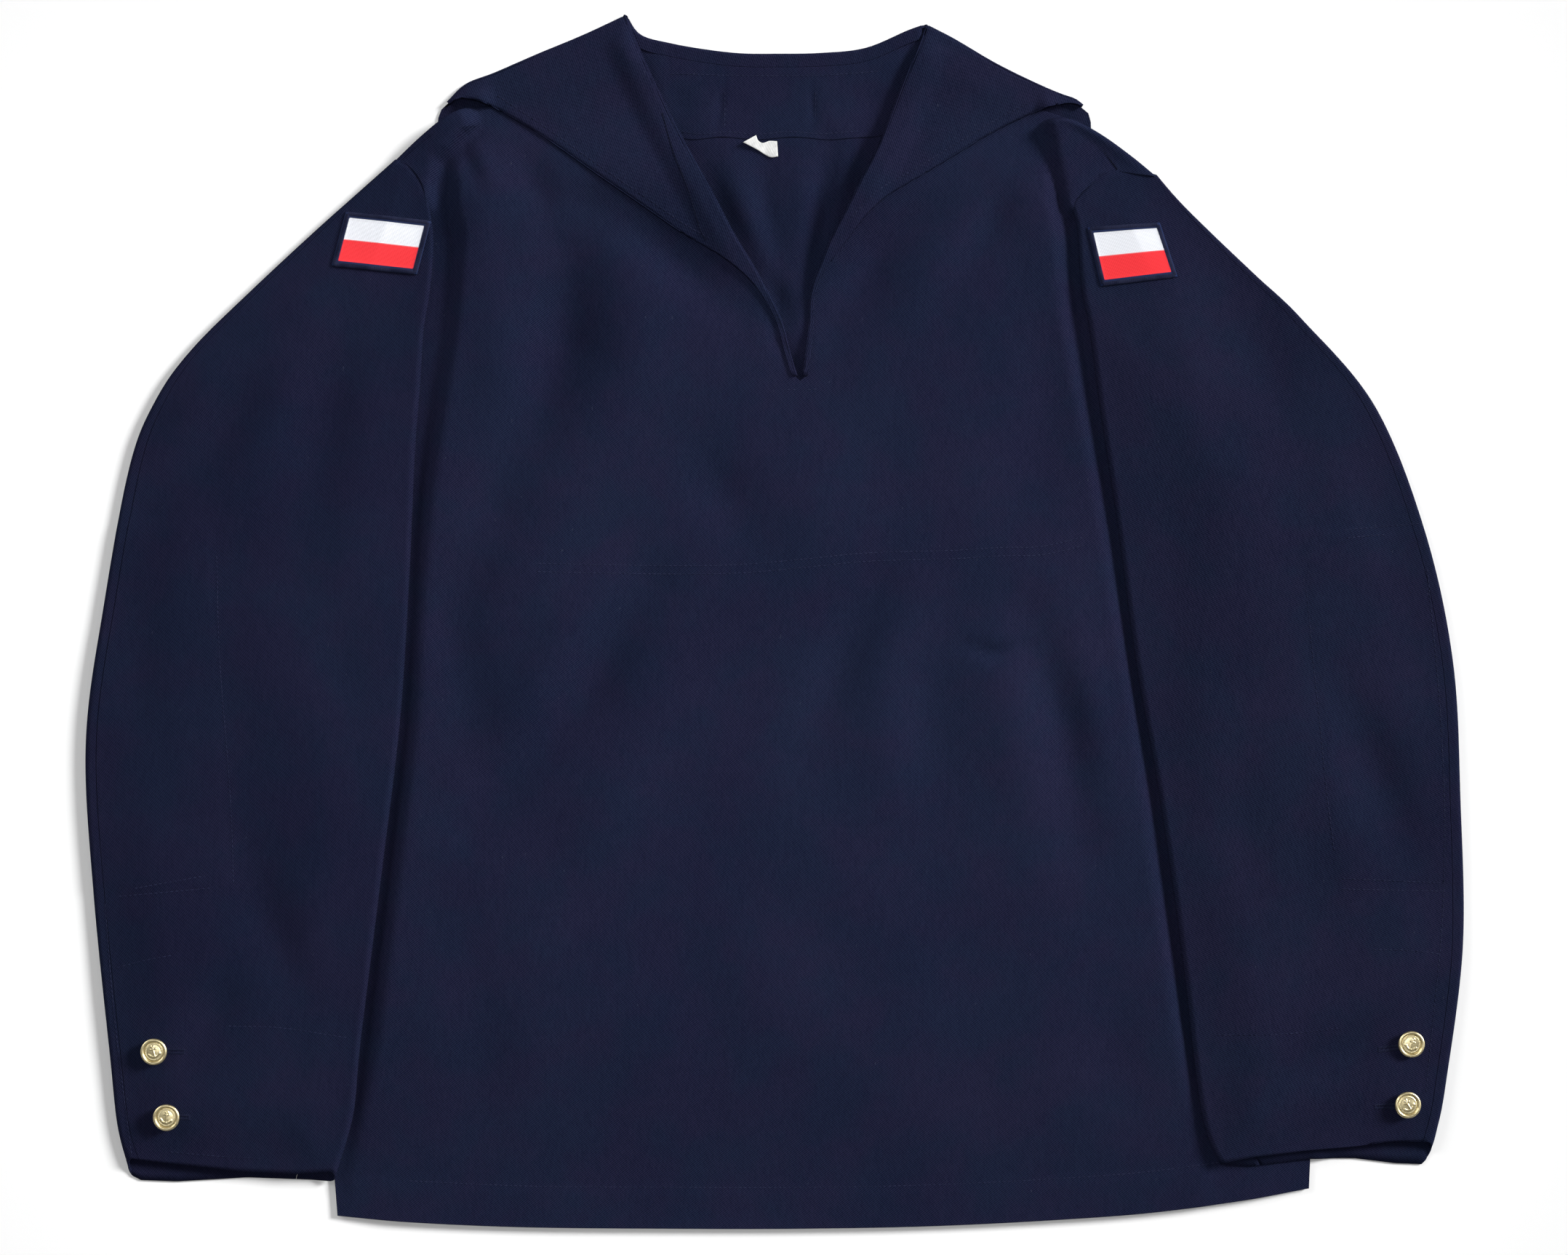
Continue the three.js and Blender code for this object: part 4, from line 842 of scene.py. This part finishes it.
def sailor_collar(material):
    """Flap, half turn, neck strip and two lapels, all sharing the row of points on the leaf's edge."""
    bend = np.concatenate([leaf_turn(FOLD_LEFT, FOLD_SHARES[:-1]), leaf_turn(NECK_ROLL, NECK_SHARES),
                           leaf_turn(FOLD_RIGHT, FOLD_SHARES[1:])], axis=1)
    low, top, side = bend[0], bend[-1], len(FOLD_SHARES)
    bottom = straight((FLAP["left"], FLAP["bottom"]), (FLAP["right"], FLAP["bottom"]))
    edges = [curve([bottom(0.0), (-199, 200), (-204, 290), (-204.5, 302), (-202.6, 309), low[0, :2]]),
             curve([bottom(1.0), (186, 200), (190, 285), (190.4, 299), (189.4, 306.2), low[-1, :2]])]
    patch = coons(bottom, through(low), *edges)
    flap = raised(patch(np.linspace(0, 1, len(low)), np.linspace(0, 1, 46)), lambda x, y: FLAP_Z + 0 * x)
    flap[-1] = low
    strip = np.vstack([top[None, side:-side], neck_strip()])
    left, left_under = lapel(top[:side], ROLL_LEFT, LAPEL_LEFT, 1)
    right, right_under = lapel(top[-side:][::-1], ROLL_RIGHT, LAPEL_RIGHT, -1)
    grids = [flap, bend, strip, left, left_under, right[:, ::-1], right_under[:, ::-1]]
    return sheet("sailor_collar", grids, COLLAR_CLOTH, material)


def stand_z(x, y, share):
    """From the back's level up to the leaf's, with two darts pressed into it."""
    level = mix(back_z(x, y) + 0.45, EDGE_HEIGHT + 0.1, smooth(share / 0.8))
    darts = creases(DARTS, x, y) * smooth((share - 0.02) / 0.1)
    return level + darts - 0.8 * smooth((np.abs(x - 1) - 70) / 10)


def neck_stand(material):
    """Strip from the back neck seam up to the leaf's return, edge to edge with it."""
    top = through(neck_strip()[-1, :, :2] - [0, 0.15])

    def seam(t):
        at = neck_back(mix(0.05, 0.95, np.asarray(t, float)))
        return at + np.stack([0 * at[..., 0], 0.7 * np.sin(at[..., 0] / 7) - 0.5], -1)

    patch = coons(seam, top, straight(seam(0.0), top(0.0)), straight(seam(1.0), top(1.0)))
    u, v = (edged(size, cell) for size, cell in STAND_GRID)
    plan = patch(u, v)
    z = stand_z(plan[..., 0], plan[..., 1], v[:, None])
    return sheet("neck_stand", [lifted(plan, z)], CLOTH, material)


# Things laid on the cloth
def top_of_sleeve(x, y):
    """Outer side of a sleeve's top layer."""
    return sleeve_over_z(x, y) + CLOTH / 2


def top_of_front(x, y):
    """Outer side of the front."""
    return front_z(x, y) + CLOTH / 2


def top_of_shoulder(x, y):
    """Top of the cloth where it rounds the right shoulder: a quarter circle next to its fold."""
    stretches = zip(SHOULDER_RIGHT, SHOULDER_RIGHT[1:])
    near = np.min([segment_near(p, q, x, y)[0] for p, q in stretches], axis=0)
    bend = (front_z(x, y) - back_z(x, y)) / 2
    beyond = np.clip(1 - near / bend, 0, 0.95)
    return front_z(x, y) + CLOTH / 2 - bend * (1 - np.sqrt(1 - beyond ** 2))


def top_of_lapel(x, y):
    """Upper side of a lapel."""
    return lapel_z(x, y) + COLLAR_CLOTH / 2


def top_of_stand(x, y):
    """Upper side of the stand, its share read from the height above the neck seam."""
    seam = np.interp(x, *neck_back(np.linspace(0.05, 0.95, 60)).T)
    return stand_z(x, y, (y - seam) / (334 - seam)) + CLOTH / 2


def thread_paths(rows, pitch, across):
    """Middle points, forward, sideways and upward directions of the stitches along rows."""
    found = []
    for points, top in rows:
        line = curve(points)
        count = max(1, int(line.length / pitch))
        t = (np.arange(count) + 0.5) / count
        d = line(t + 0.002) - line(t - 0.002)
        way = d / length_of(d)
        side = np.stack([-way[:, 1], way[:, 0]], -1)
        if across:
            way, side = side, -way
        at = line(t)

        def height(shift):
            return top(*(at + shift).T)

        def lean(direction):
            slope = (height(direction * 0.8) - height(direction * -0.8)) / 1.6
            v = np.column_stack([direction, slope])
            return v / length_of(v)

        forward, beside = lean(way), lean(side)
        found.append((np.column_stack([at, height(0 * at)]), forward, beside, np.cross(forward, beside)))
    return [np.concatenate(parts) for parts in zip(*found)]


def stitching(name, rows, material, pitch=3.0, length=2.3, radius=0.28, across=False, lift=0.0):
    """Short rounded threads along rows on the cloth.

    Each is five rings of six points along its length, narrower and sunk towards both ends.
    """
    at, forward, beside, up = (v[:, None, None] for v in thread_paths(rows, pitch, across))
    s = np.array([-0.5, -0.36, 0, 0.36, 0.5])[None, :, None, None] * length
    size = np.array([0.3, 0.85, 1, 0.85, 0.3])[None, :, None, None] * radius
    sink = np.array([-0.9, -0.1, 0.25, -0.1, -0.9])[None, :, None, None] * radius + lift
    a = np.linspace(0, 2 * math.pi, 6, endpoint=False)[None, None, :, None]
    points = at + forward * s + (beside * np.cos(a) + up * np.sin(a)) * size + up * sink
    ring = np.arange(30).reshape(5, 6)
    one = np.vstack([grid_faces(np.hstack([ring, ring[:, :1]])), cap_faces(ring[0])[:, ::-1],
                     cap_faces(ring[-1])])
    faces = (one[None] + np.arange(len(points))[:, None, None] * 30).reshape(-1, 4)
    return mesh_object(name, points.reshape(-1, 3), faces, material)


def beside_line(points, offset):
    """The line moved sideways by an offset, to its left."""
    line = curve(points)
    t = np.linspace(0, 1, 24)
    return (line(t) + left_of(line, t) * offset).tolist()


# Badges: corners from the top left clockwise
BADGES = dict(left=[(-259.5, 246.8), (-207.8, 240.7), (-216.2, 208.8), (-267.8, 214.3)],
              right=[(187.5, 237), (231.3, 240.3), (241.8, 207.4), (195.6, 201.6)])
BADGE_SIZE = (50.0, 32.0)
BADGE_CELL = 1.0
# Ribbon label: size across and up, and how far its left end curls up
LABEL = dict(size=(22, 9), cell=0.7, curl=2.2)


def badge(name, corners, material):
    """Woven badge a little above the sleeve, its edges turned down to it."""
    a, b, c, d = corners
    patch = coons(straight(d, c), straight(a, b), straight(d, a), straight(c, b))
    wide, high = BADGE_SIZE
    u, v = (spaced(size, BADGE_CELL) for size in BADGE_SIZE)
    plan = patch(u, v)
    edge = np.minimum(np.minimum(u, 1 - u)[None] * wide, np.minimum(v, 1 - v)[:, None] * high)
    rise = 0.35 + 0.45 * smooth(edge / 2) - 0.25 * smooth((edge - 3) / 1.2)
    z = top_of_sleeve(plan[..., 0], plan[..., 1]) + rise
    spread = np.stack(np.broadcast_arrays(u[None] * wide, v[:, None] * high), -1)
    return sheet(name, [lifted(plan, z)], BADGE_CLOTH, material, spread)


def badge_border(name, corners, material):
    """Dense overcast threads across the badge's edge."""
    mid = np.mean(corners, axis=0)
    inner = [np.array(p) + (mid - p) / np.linalg.norm(mid - p) * 2.0 for p in corners]
    rows = [(np.linspace(p, q, 5).tolist(), lambda x, y: top_of_sleeve(x, y) + 1.0)
            for p, q in zip(inner, inner[1:] + inner[:1])]
    return stitching(name, rows, material, pitch=0.66, length=3.0, radius=0.42, across=True)


def ribbon_label(material):
    """Folded white ribbon on the inside of the back, its left end curled up."""
    bottom = curve([(-19.9, 288.7), (-11.8, 284.8), (-3.1, 280.0), (1.2, 280.5)])
    top = curve([(-12.1, 293.0), (-10.6, 289.8), (-8.0, 288.6), (-4.2, 289.8), (0.6, 289.6)])
    patch = coons(bottom, top, straight(bottom(0.0), top(0.0)), straight(bottom(1.0), top(1.0)))
    u, v = (spaced(size, LABEL["cell"]) for size in LABEL["size"])
    plan = patch(u, v)
    z = back_z(plan[..., 0], plan[..., 1]) + 1.2
    curl = LABEL["curl"] * smooth(1 - u / 0.5)[None] + 0.5 * np.exp(-((u - 0.45) / 0.1) ** 2)[None]
    return sheet("ribbon_label", [lifted(plan, z + curl)], LABEL_CLOTH, material)


# Buttons: place, turn and tilt in degrees
BUTTONS = dict(
    button_left_upper=((-374.5, -259), 14, 0),
    button_left_lower=((-367, -298.5), -8, 2),
    button_right_upper=((382.5, -254.5), -20, 0),
    button_right_lower=((380, -291), 32, 6),
)


def anchor_relief(x, y):
    """Plain anchor in low relief: height falls off with the distance to its strokes."""
    strokes = [((0, 2.6), (0, -3.0), 0.42), ((-1.5, 1.7), (1.5, 1.7), 0.36),
               ((-3.2, -1.0), (-3.4, -1.7), 0.5), ((3.2, -1.0), (3.4, -1.7), 0.5)]
    rise = sum(np.exp(-(segment_near(p, q, x, y)[0] / w) ** 4) for p, q, w in strokes)
    ring = np.exp(-((np.hypot(x, y - 3.2) - 0.65) / 0.28) ** 2)
    arms = np.exp(-((np.hypot(x, y) - 3.1) / 0.42) ** 4) * smooth((-y - 0.6) / 0.8)
    return 0.38 * np.minimum(1, rise + ring + arms)


def button(name, place, turn, tilt, material):
    """Round profile from the dished face over the rolled rim to the shank, with relief on its face.

    The profile's rows are radius and height above the cloth; the face's height also has a rope ring.
    """
    radius, roll = BUTTON["radius"], BUTTON["roll"]
    top = BUTTON["shank"] + BUTTON["rise"]
    face = np.linspace(0.04, BUTTON["face"], 26)
    rim = np.linspace(math.pi, -0.45 * math.pi, 17)
    beneath = [(7.3, 1.35), (6.4, 1.0), (2.3, 1.0), (2.2, 0.9), (2.2, 0.1), (0.05, 0.1)]
    profile = np.vstack([
        np.column_stack([face, top + BUTTON["dish"] * (1 - (face / BUTTON["face"]) ** 2)]),
        np.column_stack([radius - roll + roll * np.cos(rim), top - 0.1 + np.sin(rim)]),
        beneath,
    ])
    a = np.linspace(0, 2 * math.pi, 97)[:-1]
    r, z = profile[:, :1], profile[:, 1:]
    x, y = r * np.cos(a), r * np.sin(a)
    on_face = (np.arange(len(profile)) < len(face))[:, None]
    rope = 0.16 * np.exp(-((r - 5.0) / 0.32) ** 2) * (1 + 0.6 * np.sin(30 * a + r * 5))
    z = z + on_face * (anchor_relief(x, y) + rope)
    angle, lean = math.radians(turn), math.radians(tilt)
    x, y = x * math.cos(angle) - y * math.sin(angle), x * math.sin(angle) + y * math.cos(angle)
    x, z = x * math.cos(lean) + z * math.sin(lean), z * math.cos(lean) - x * math.sin(lean)
    base = top_of_sleeve(*np.array(place)) + 0.1
    points = np.stack([x + place[0], y + place[1], z + base + math.sin(lean) * radius / 2], -1)
    ids = np.arange(points.shape[0] * points.shape[1]).reshape(points.shape[:2])
    side = grid_faces(np.hstack([ids, ids[:, :1]]))[:, ::-1]
    faces = np.vstack([side, cap_faces(ids[0]), cap_faces(ids[-1])[:, ::-1]])
    return mesh_object(name, points.reshape(-1, 3), faces, material)


# Finishes
class Value:
    """A node's output, on which sums, differences and products add their own Math nodes."""

    def __init__(self, net, socket):
        self.net, self.socket = net, socket

    def maths(self, operation, first, second):
        return self.net.maths(operation, first, second)

    def __add__(self, other):
        return self.maths("ADD", self, other)

    def __radd__(self, other):
        return self.maths("ADD", other, self)

    def __sub__(self, other):
        return self.maths("SUBTRACT", self, other)

    def __rsub__(self, other):
        return self.maths("SUBTRACT", other, self)

    def __mul__(self, other):
        return self.maths("MULTIPLY", self, other)

    def __rmul__(self, other):
        return self.maths("MULTIPLY", other, self)


class Finish:
    """A material with a Principled shader, its nodes made by one method."""

    def __init__(self, name):
        self.material = bpy.data.materials.new(name)
        self.material.use_nodes = True
        self.tree = self.material.node_tree
        self.shader = self.tree.nodes["Principled BSDF"]

    def put(self, socket, value):
        """Links a value to a socket, or sets a constant on it."""
        if isinstance(value, Value):
            self.tree.links.new(value.socket, socket)
        else:
            socket.default_value = value

    def node(self, kind, settings, sockets, output=0):
        """A node of a type, its settings set first, then its sockets by name or number."""
        made = self.tree.nodes.new("ShaderNode" + kind)
        for key, setting in settings.items():
            setattr(made, key, setting)
        for key, value in sockets.items():
            self.put(made.inputs[key], value)
        return Value(self, made.outputs[output])

    def maths(self, operation, first, second):
        """One Math node."""
        return self.node("Math", dict(operation=operation), {0: first, 1: second})

    def blend(self, share, a, b):
        """Colour between two colours."""
        a, b = (c if isinstance(c, Value) else (*c, 1) for c in (a, b))
        return self.node("Mix", dict(data_type="RGBA"), {0: share, 6: a, 7: b}, 2)

    def place(self, turn=0.0, scale=(1, 1, 1)):
        """Object coordinates, turned by degrees and scaled."""
        seat = self.node("TexCoord", {}, {}, "Object")
        return self.node("Mapping", {}, {"Vector": seat, "Rotation": (0, 0, math.radians(turn)),
                                         "Scale": scale})

    def noise(self, place, scale, detail=3.0, rough=0.55):
        """Fractal noise about 0.5."""
        return self.node("TexNoise", {}, {"Vector": place, "Scale": scale, "Detail": detail,
                                          "Roughness": rough})

    def ribs(self, place, direction, period, waver=0.0):
        """Even bands with a period in metres; a wave node's bands are a tenth of pi long at scale 1."""
        return self.node("TexWave", dict(bands_direction=direction),
                         {"Vector": place, "Scale": math.pi / 10 / period, "Distortion": waver,
                          "Detail": 1.0, "Detail Scale": 2.0}, "Fac")

    def soft(self, value, low, high):
        """0 below one value, 1 above another, easing between."""
        return self.node("MapRange", dict(interpolation_type="SMOOTHSTEP"),
                         {"Value": value, "From Min": low, "From Max": high})

    def finish(self, colour, rough, height, depth, **constants):
        """Joins colour, roughness and a relief of a depth in metres to the shader, and sets constants."""
        self.put(self.shader.inputs["Base Color"], colour if isinstance(colour, Value) else (*colour, 1))
        self.put(self.shader.inputs["Roughness"], rough)
        bump = self.node("Bump", {}, {"Height": height, "Distance": depth, "Strength": 1.0})
        self.put(self.shader.inputs["Normal"], bump)
        for key, value in constants.items():
            self.shader.inputs[key.replace("_", " ")].default_value = value
        return self.material


# Colours: twill's shadow with its violet and blue threads, then each other material from dark to light
NAVY = [(0.0055, 0.0070, 0.0215), (0.0208, 0.0210, 0.0516), (0.0164, 0.0224, 0.0516)]
LINT = (0.07, 0.08, 0.12)
SEWING_THREAD = [(0.0095, 0.012, 0.033), (0.019, 0.022, 0.052)]
# Seam cords near black: stitching darkened as painted shade of each seam's groove
SEAM_SHADOW_THREAD = [(0.003, 0.004, 0.012), (0.006, 0.008, 0.022)]
# The badge's red with its satin rim, its white, and its border
RED = [(0.70, 0.006, 0.010), (0.88, 0.017, 0.024), (0.93, 0.045, 0.055)]
WHITE = [(0.77, 0.79, 0.86), (0.91, 0.925, 0.965)]
BORDER = [(0.010, 0.016, 0.056), (0.020, 0.032, 0.090)]
BRASS = [(0.74, 0.62, 0.34), (0.86, 0.76, 0.48)]
DIRT = (0.34, 0.26, 0.12)
RIBBON = [(0.60, 0.60, 0.60), (0.80, 0.80, 0.79)]
PAPER = (0.93, 0.93, 0.93)


def navy_twill(name, turn, shade):
    """Fine twill: diagonal ribs broken into threads, fuzz over them, and slow changes of shade.

    turn is the ribs' slant in degrees, and shade dims the three colours; the sleeves' lower shade is painted
    shade for light falling off towards the sides.
    """
    f = Finish(name)
    seat = f.place(turn)
    ribs = f.ribs(seat, "X", 0.00105, 0.8)
    threads = f.ribs(seat, "Y", 0.0019, 1.5)
    fuzz = f.noise(f.place(), 560, 5.0, 0.75)
    drift = f.noise(f.place(), 9, 2.0, 0.5)
    slub = f.noise(f.place(0, (1, 0.12, 1)), 900, 2.0)
    lint = f.soft(f.noise(f.place(turn + 20, (1, 0.35, 1)), 620, 2.0), 0.74, 0.80)
    height = ribs * 0.5 + threads * 0.15 + fuzz * 0.45 + slub * 0.35
    tone = f.soft(height + drift * 0.3, 0.52, 1.16)
    hue = f.soft(f.noise(f.place(), 26, 3.0, 0.6), 0.35, 0.65)
    dark, violet, blue = (tuple(shade * level for level in colour) for colour in NAVY)
    weave = f.blend(tone, dark, f.blend(hue, violet, blue))
    colour = f.blend(lint * 0.3, weave, LINT)
    return f.finish(colour, 0.80 + 0.14 * fuzz, height, 0.00022, Specular_IOR_Level=0.0)


def navy_thread(name, dark, light):
    """Cotton thread, its plies seen as fine slanting ribs."""
    f = Finish(name)
    plies = f.ribs(f.place(28), "X", 0.0005, 0.5)
    shade = f.noise(f.place(), 90)
    colour = f.blend(f.soft(shade, 0.35, 0.65), dark, light)
    return f.finish(colour, 0.6 + 0.2 * shade, plies, 0.0001, Specular_IOR_Level=0.05)


def woven_badge(name, level, gloss):
    """Dense weft in two colours inside a navy border, by the place on the cut in millimetres.

    The field's distance to its own edge, with round corners, tells border, satin rim and field apart.
    level dims the two colours, and gloss is the shader's specular level.
    """
    f = Finish(name)
    red_dark, red_light, red_rim, white_dark, white_light = (
        tuple(level * channel for channel in colour) for colour in RED + WHITE)
    seat = f.node("UVMap", dict(uv_map="cut"), {})
    spot = f.node("SeparateXYZ", {}, {0: seat})
    x, y = spot, Value(f, spot.socket.node.outputs[1])
    (wide, high), inset, corner = BADGE_SIZE, 3.1, 0.8
    out_x = f.maths("MAXIMUM", f.maths("ABSOLUTE", x - wide / 2, 0) - (wide / 2 - inset - corner), 0)
    out_y = f.maths("MAXIMUM", f.maths("ABSOLUTE", y - high / 2, 0) - (high / 2 - inset - corner), 0)
    deep = corner - f.maths("SQRT", out_x * out_x + out_y * out_y, 0)
    weft = f.ribs(f.node("Mapping", {}, {"Vector": seat}), "Y", 0.5, 0.5)
    warp = f.ribs(f.node("Mapping", {}, {"Vector": seat}), "X", 0.7, 0.5)
    height = weft * 0.6 + warp * 0.4
    field = f.soft(deep + weft * 0.3, -0.05, 0.35)
    rim = 1 - f.soft(deep, 0.9, 1.3)
    worn = f.noise(seat, 0.12, 4.0)
    grain = worn * 0.5 + warp * 0.25 + weft * 0.25
    red = f.blend(rim, f.blend(grain, red_dark, red_light), red_rim)
    white = f.blend(grain, white_dark, white_light)
    navy = f.blend(grain, *BORDER)
    two = f.blend(f.soft(y + weft * 0.35, high * 0.5, high * 0.5 + 0.25), red, white)
    return f.finish(f.blend(field, navy, two), 0.68 + 0.1 * worn, height, 0.00018, Specular_IOR_Level=gloss)


def pale_brass(name):
    """Pale gilt brass, hazed by fine scratches, darker where noise says that dirt has settled."""
    f = Finish(name)
    haze = f.noise(f.place(), 380, 5.0, 0.65)
    scratches = f.noise(f.place(35, (1, 0.06, 1)), 2600, 2.0)
    dirt = f.soft(f.noise(f.place(), 700, 3.0), 0.50, 0.72)
    colour = f.blend(dirt * 0.45, f.blend(haze, *BRASS), DIRT)
    return f.finish(colour, 0.26 + 0.22 * haze, haze * 0.5 + scratches * 0.5, 0.00004, Metallic=1.0)


def white_ribbon(name):
    """Plain woven ribbon, off-white, ribbed across."""
    f = Finish(name)
    ribs = f.ribs(f.place(12), "X", 0.0006, 0.4)
    shade = f.noise(f.place(), 160)
    colour = f.blend(f.soft(shade, 0.3, 0.7), *RIBBON)
    return f.finish(colour, 0.6 + 0.15 * shade, ribs, 0.00012, Sheen_Weight=0.1)


def pale_floor(name):
    """White matt paper with the faintest tooth."""
    f = Finish(name)
    tooth = f.noise(f.place(), 420)
    return f.finish(PAPER, 0.9 + 0.05 * tooth, tooth, 0.00002)


twill_body, twill_collar = navy_twill("twill_body", 52, 0.85), navy_twill("twill_collar", 20, 0.81)
# Sleeve copies dimmed below the body's: painted shade for the light falling off towards the garment's sides
twill_sleeve_left_shaded = navy_twill("twill_sleeve_left_shaded", 40, 0.77)
twill_sleeve_right_shaded = navy_twill("twill_sleeve_right_shaded", 62, 0.77)
thread = navy_thread("navy_thread", *SEWING_THREAD)
seam_shadow_thread = navy_thread("seam_shadow_thread", *SEAM_SHADOW_THREAD)
woven_fields = dict(left=woven_badge("woven_badge_left", 1.0, 0.1),
                    right=woven_badge("woven_badge_right", 0.87, 0.04))
brass, ribbon = pale_brass("pale_brass"), white_ribbon("white_ribbon")

# The garment
panels = {
    "front": front_panel(twill_body),
    "back": back_panel(twill_body),
    "sleeve_left_upper": sleeve_upper("sleeve_left_top", SLEEVES["left"], twill_sleeve_left_shaded),
    "sleeve_left_under": sleeve_under("sleeve_left_beneath", SLEEVES["left"], twill_sleeve_left_shaded),
    "sleeve_right_upper": sleeve_upper("sleeve_right_top", SLEEVES["right"], twill_sleeve_right_shaded),
    "sleeve_right_under": sleeve_under("sleeve_right_beneath", SLEEVES["right"], twill_sleeve_right_shaded),
    "collar": sailor_collar(twill_collar),
    "collar_stand": neck_stand(twill_body),
}
for side in ("left", "right"):
    panels["flag_patch_" + side] = badge("badge_" + side, BADGES[side], woven_fields[side])
    badge_border("badge_border_" + side, BADGES[side], thread)
panels["size_label"] = ribbon_label(ribbon)
buttons = {node: button(node + "_gilt", place, turn, tilt, brass)
           for node, (place, turn, tilt) in BUTTONS.items()}

# Threads, in rows of plan points from end to end
def rows_on(top, *rows):
    """Rows of stitches on the cloth whose upper side top tells."""
    return [(row, top) for row in rows]


hem_row = beside_line(HEM[1:-1], HEM_DEEP)
chest_row = [(-143.9, 34.8), (-59.8, 33.4), (-24.6, 33.9), (17.6, 37.4), (52.4, 40.9), (108.2, 42.7),
             (136.4, 44.4), (158.8, 44.9), (175.6, 48.4), (184.8, 50.6)]
stitching("body_threads", rows_on(
    top_of_front, hem_row, chest_row, beside_line(chest_row, -5),
    [(5.5, 139.4), (12.8, 139.2)], [(18.3, 139.2), (25, 139.6)],
), thread)
stitching("left_sleeve_threads", rows_on(
    top_of_sleeve,
    [(-405.0, -170), (-399.1, -240.2), (-389.0, -322)],
    [(-366, -320), (-338, -322.5), (-310.6, -324)],
    [(-398.2, -209.0), (-378.0, -203.7), (-363.9, -201.1)],
    [(-330.9, -243.8), (-300.5, -244.6), (-258.3, -250.8)],
    [(-387.2, -161.0), (-345.8, -153.6)],
    [(-397.3, -165.9), (-340.6, -160.6)],
    [(-337, 40), (-335.3, -20.2), (-328.7, -108.2), (-327, -158)],
), thread)
stitching("right_sleeve_threads", rows_on(
    top_of_sleeve,
    [(359.0, -197.6), (384.6, -198.4), (400.4, -200.6)],
    [(264.9, -249.0), (310.2, -247.7), (338.8, -244.6)],
    [(341.4, 55.0), (388.5, 59.0)],
    [(343.2, 50.2), (367.4, 52.4)],
    [(340, -154.5), (404.4, -158.0)],
    [(340, -161), (403.0, -162.8)],
    [(319.0, 19.4), (323.8, -28.6), (326.5, -53.7), (331.3, -104.3), (335.7, -138.2)],
    [(393, 31.7), (401, -60), (403, -160), (392, -284.2)],
), thread)
# Buttonholes: from each button's edge outwards, two rows of dense threads and a bar at the end
BUTTONHOLES = [((-368, -259), (-357.3, -259.3)), ((-361, -298.6), (-354.2, -298.8)),
               ((375.5, -256.5), (363.9, -258)), ((373, -292), (361.7, -292.4))]
holes = []
for (x0, y0), (x1, y1) in BUTTONHOLES:
    bar = x1 + math.copysign(0.5, x1 - x0)
    holes += [[(x0, y0 + shift), (x1, y1 + shift)] for shift in (-1.0, 1.0)]
    holes.append([(bar, y1 - 1.6), (bar, y1 + 1.6)])
stitching("buttonhole_threads", rows_on(top_of_sleeve, *holes), thread,
          pitch=0.62, length=1.8, radius=0.27, across=True)
# Continuous dark cords on the shoulder and lapel seams: real stitching, painted as the shade in each seam's
# groove
stitching("shoulder_seam_shadow", rows_on(
    top_of_shoulder, [(176.5, 303.0), (182.3, 297.6), (195.3, 285.8), (205.8, 272.4)],
), seam_shadow_thread, pitch=1.6, length=2.0, radius=0.4, lift=0.1)
stitching("lapel_seam_shadow", rows_on(
    top_of_lapel, [(-68.6, 306.2), (-61.6, 281.6), (-52.8, 259.2), (-45.3, 235.0), (-41.8, 228.6)],
), seam_shadow_thread, pitch=1.9, length=2.3, radius=0.34)
stitching("collar_threads", rows_on(
    top_of_lapel, beside_line(LAPEL_LEFT[4:-7], 4.5), beside_line(LAPEL_RIGHT[4:-8], -4.5),
) + rows_on(
    top_of_stand,
    [(-57, 295.2), (-44, 294.0), (-30, 295.2), (-12, 293.9), (9, 295.4), (26, 294.2), (50, 295.8)],
    [(-64, 330.5), (-25, 329.5), (1.5, 329.3), (27.5, 329.5), (62, 332)],
    [(-31, 320), (-31, 298)],
    [(23.8, 320), (23.8, 304)],
), thread)

# Camera, straight above, and a soft light
camera = bpy.data.cameras.new("camera")
camera.lens = 83.5
above = bpy.data.objects.new("camera", camera)
above.location = (0.0048, -0.0037, 2.2)
bpy.context.scene.collection.objects.link(above)
bpy.context.scene.camera = above


def light(kind, name, place, power, **settings):
    """A lamp of a kind at a place in metres, turned towards the middle of the garment."""
    lamp = bpy.data.lights.new(name, kind)
    lamp.energy = power
    for key, value in settings.items():
        setattr(lamp, key, value)
    holder = bpy.data.objects.new(name, lamp)
    holder.location = place
    direction = -np.array(place, float)
    holder.rotation_euler = (math.atan2(math.hypot(*direction[:2]), -direction[2]), 0,
                             math.atan2(direction[1], direction[0]) - math.pi / 2)
    bpy.context.scene.collection.objects.link(holder)


light("SUN", "right_light", (1.6, 0.75, 0.80), 4.95, angle=0.3)
light("SUN", "left_light", (-1.4, 1.0, 0.80), 1.1, angle=0.5)
light("SPOT", "top_light", (0.02, 0.12, 2.6), 108, spot_size=0.56, spot_blend=1.0, shadow_soft_size=0.3)
world = bpy.data.worlds.new("studio")
world.use_nodes = True
world.node_tree.nodes["Background"].inputs["Color"].default_value = (1, 1, 1, 1)
world.node_tree.nodes["Background"].inputs["Strength"].default_value = 0.15
bpy.context.scene.world = world
bpy.context.scene.view_settings.view_transform = "Standard"

FLOOR_HALF = 4.0
floor_points = [(x * FLOOR_HALF, y * FLOOR_HALF, 0) for x, y in ((-1, -1), (1, -1), (1, 1), (-1, 1))]
floor_mesh = bpy.data.meshes.new("floor")
floor_mesh.from_pydata(floor_points, [], [(0, 1, 2, 3)])
floor_mesh.materials.append(pale_floor("pale_floor"))
floor = bpy.data.objects.new("floor", floor_mesh)
bpy.context.scene.collection.objects.link(floor)

# Hide the imported parts that each piece replaces
for node, piece in panels.items():
    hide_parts(node)
for node, piece in buttons.items():
    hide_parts(node)
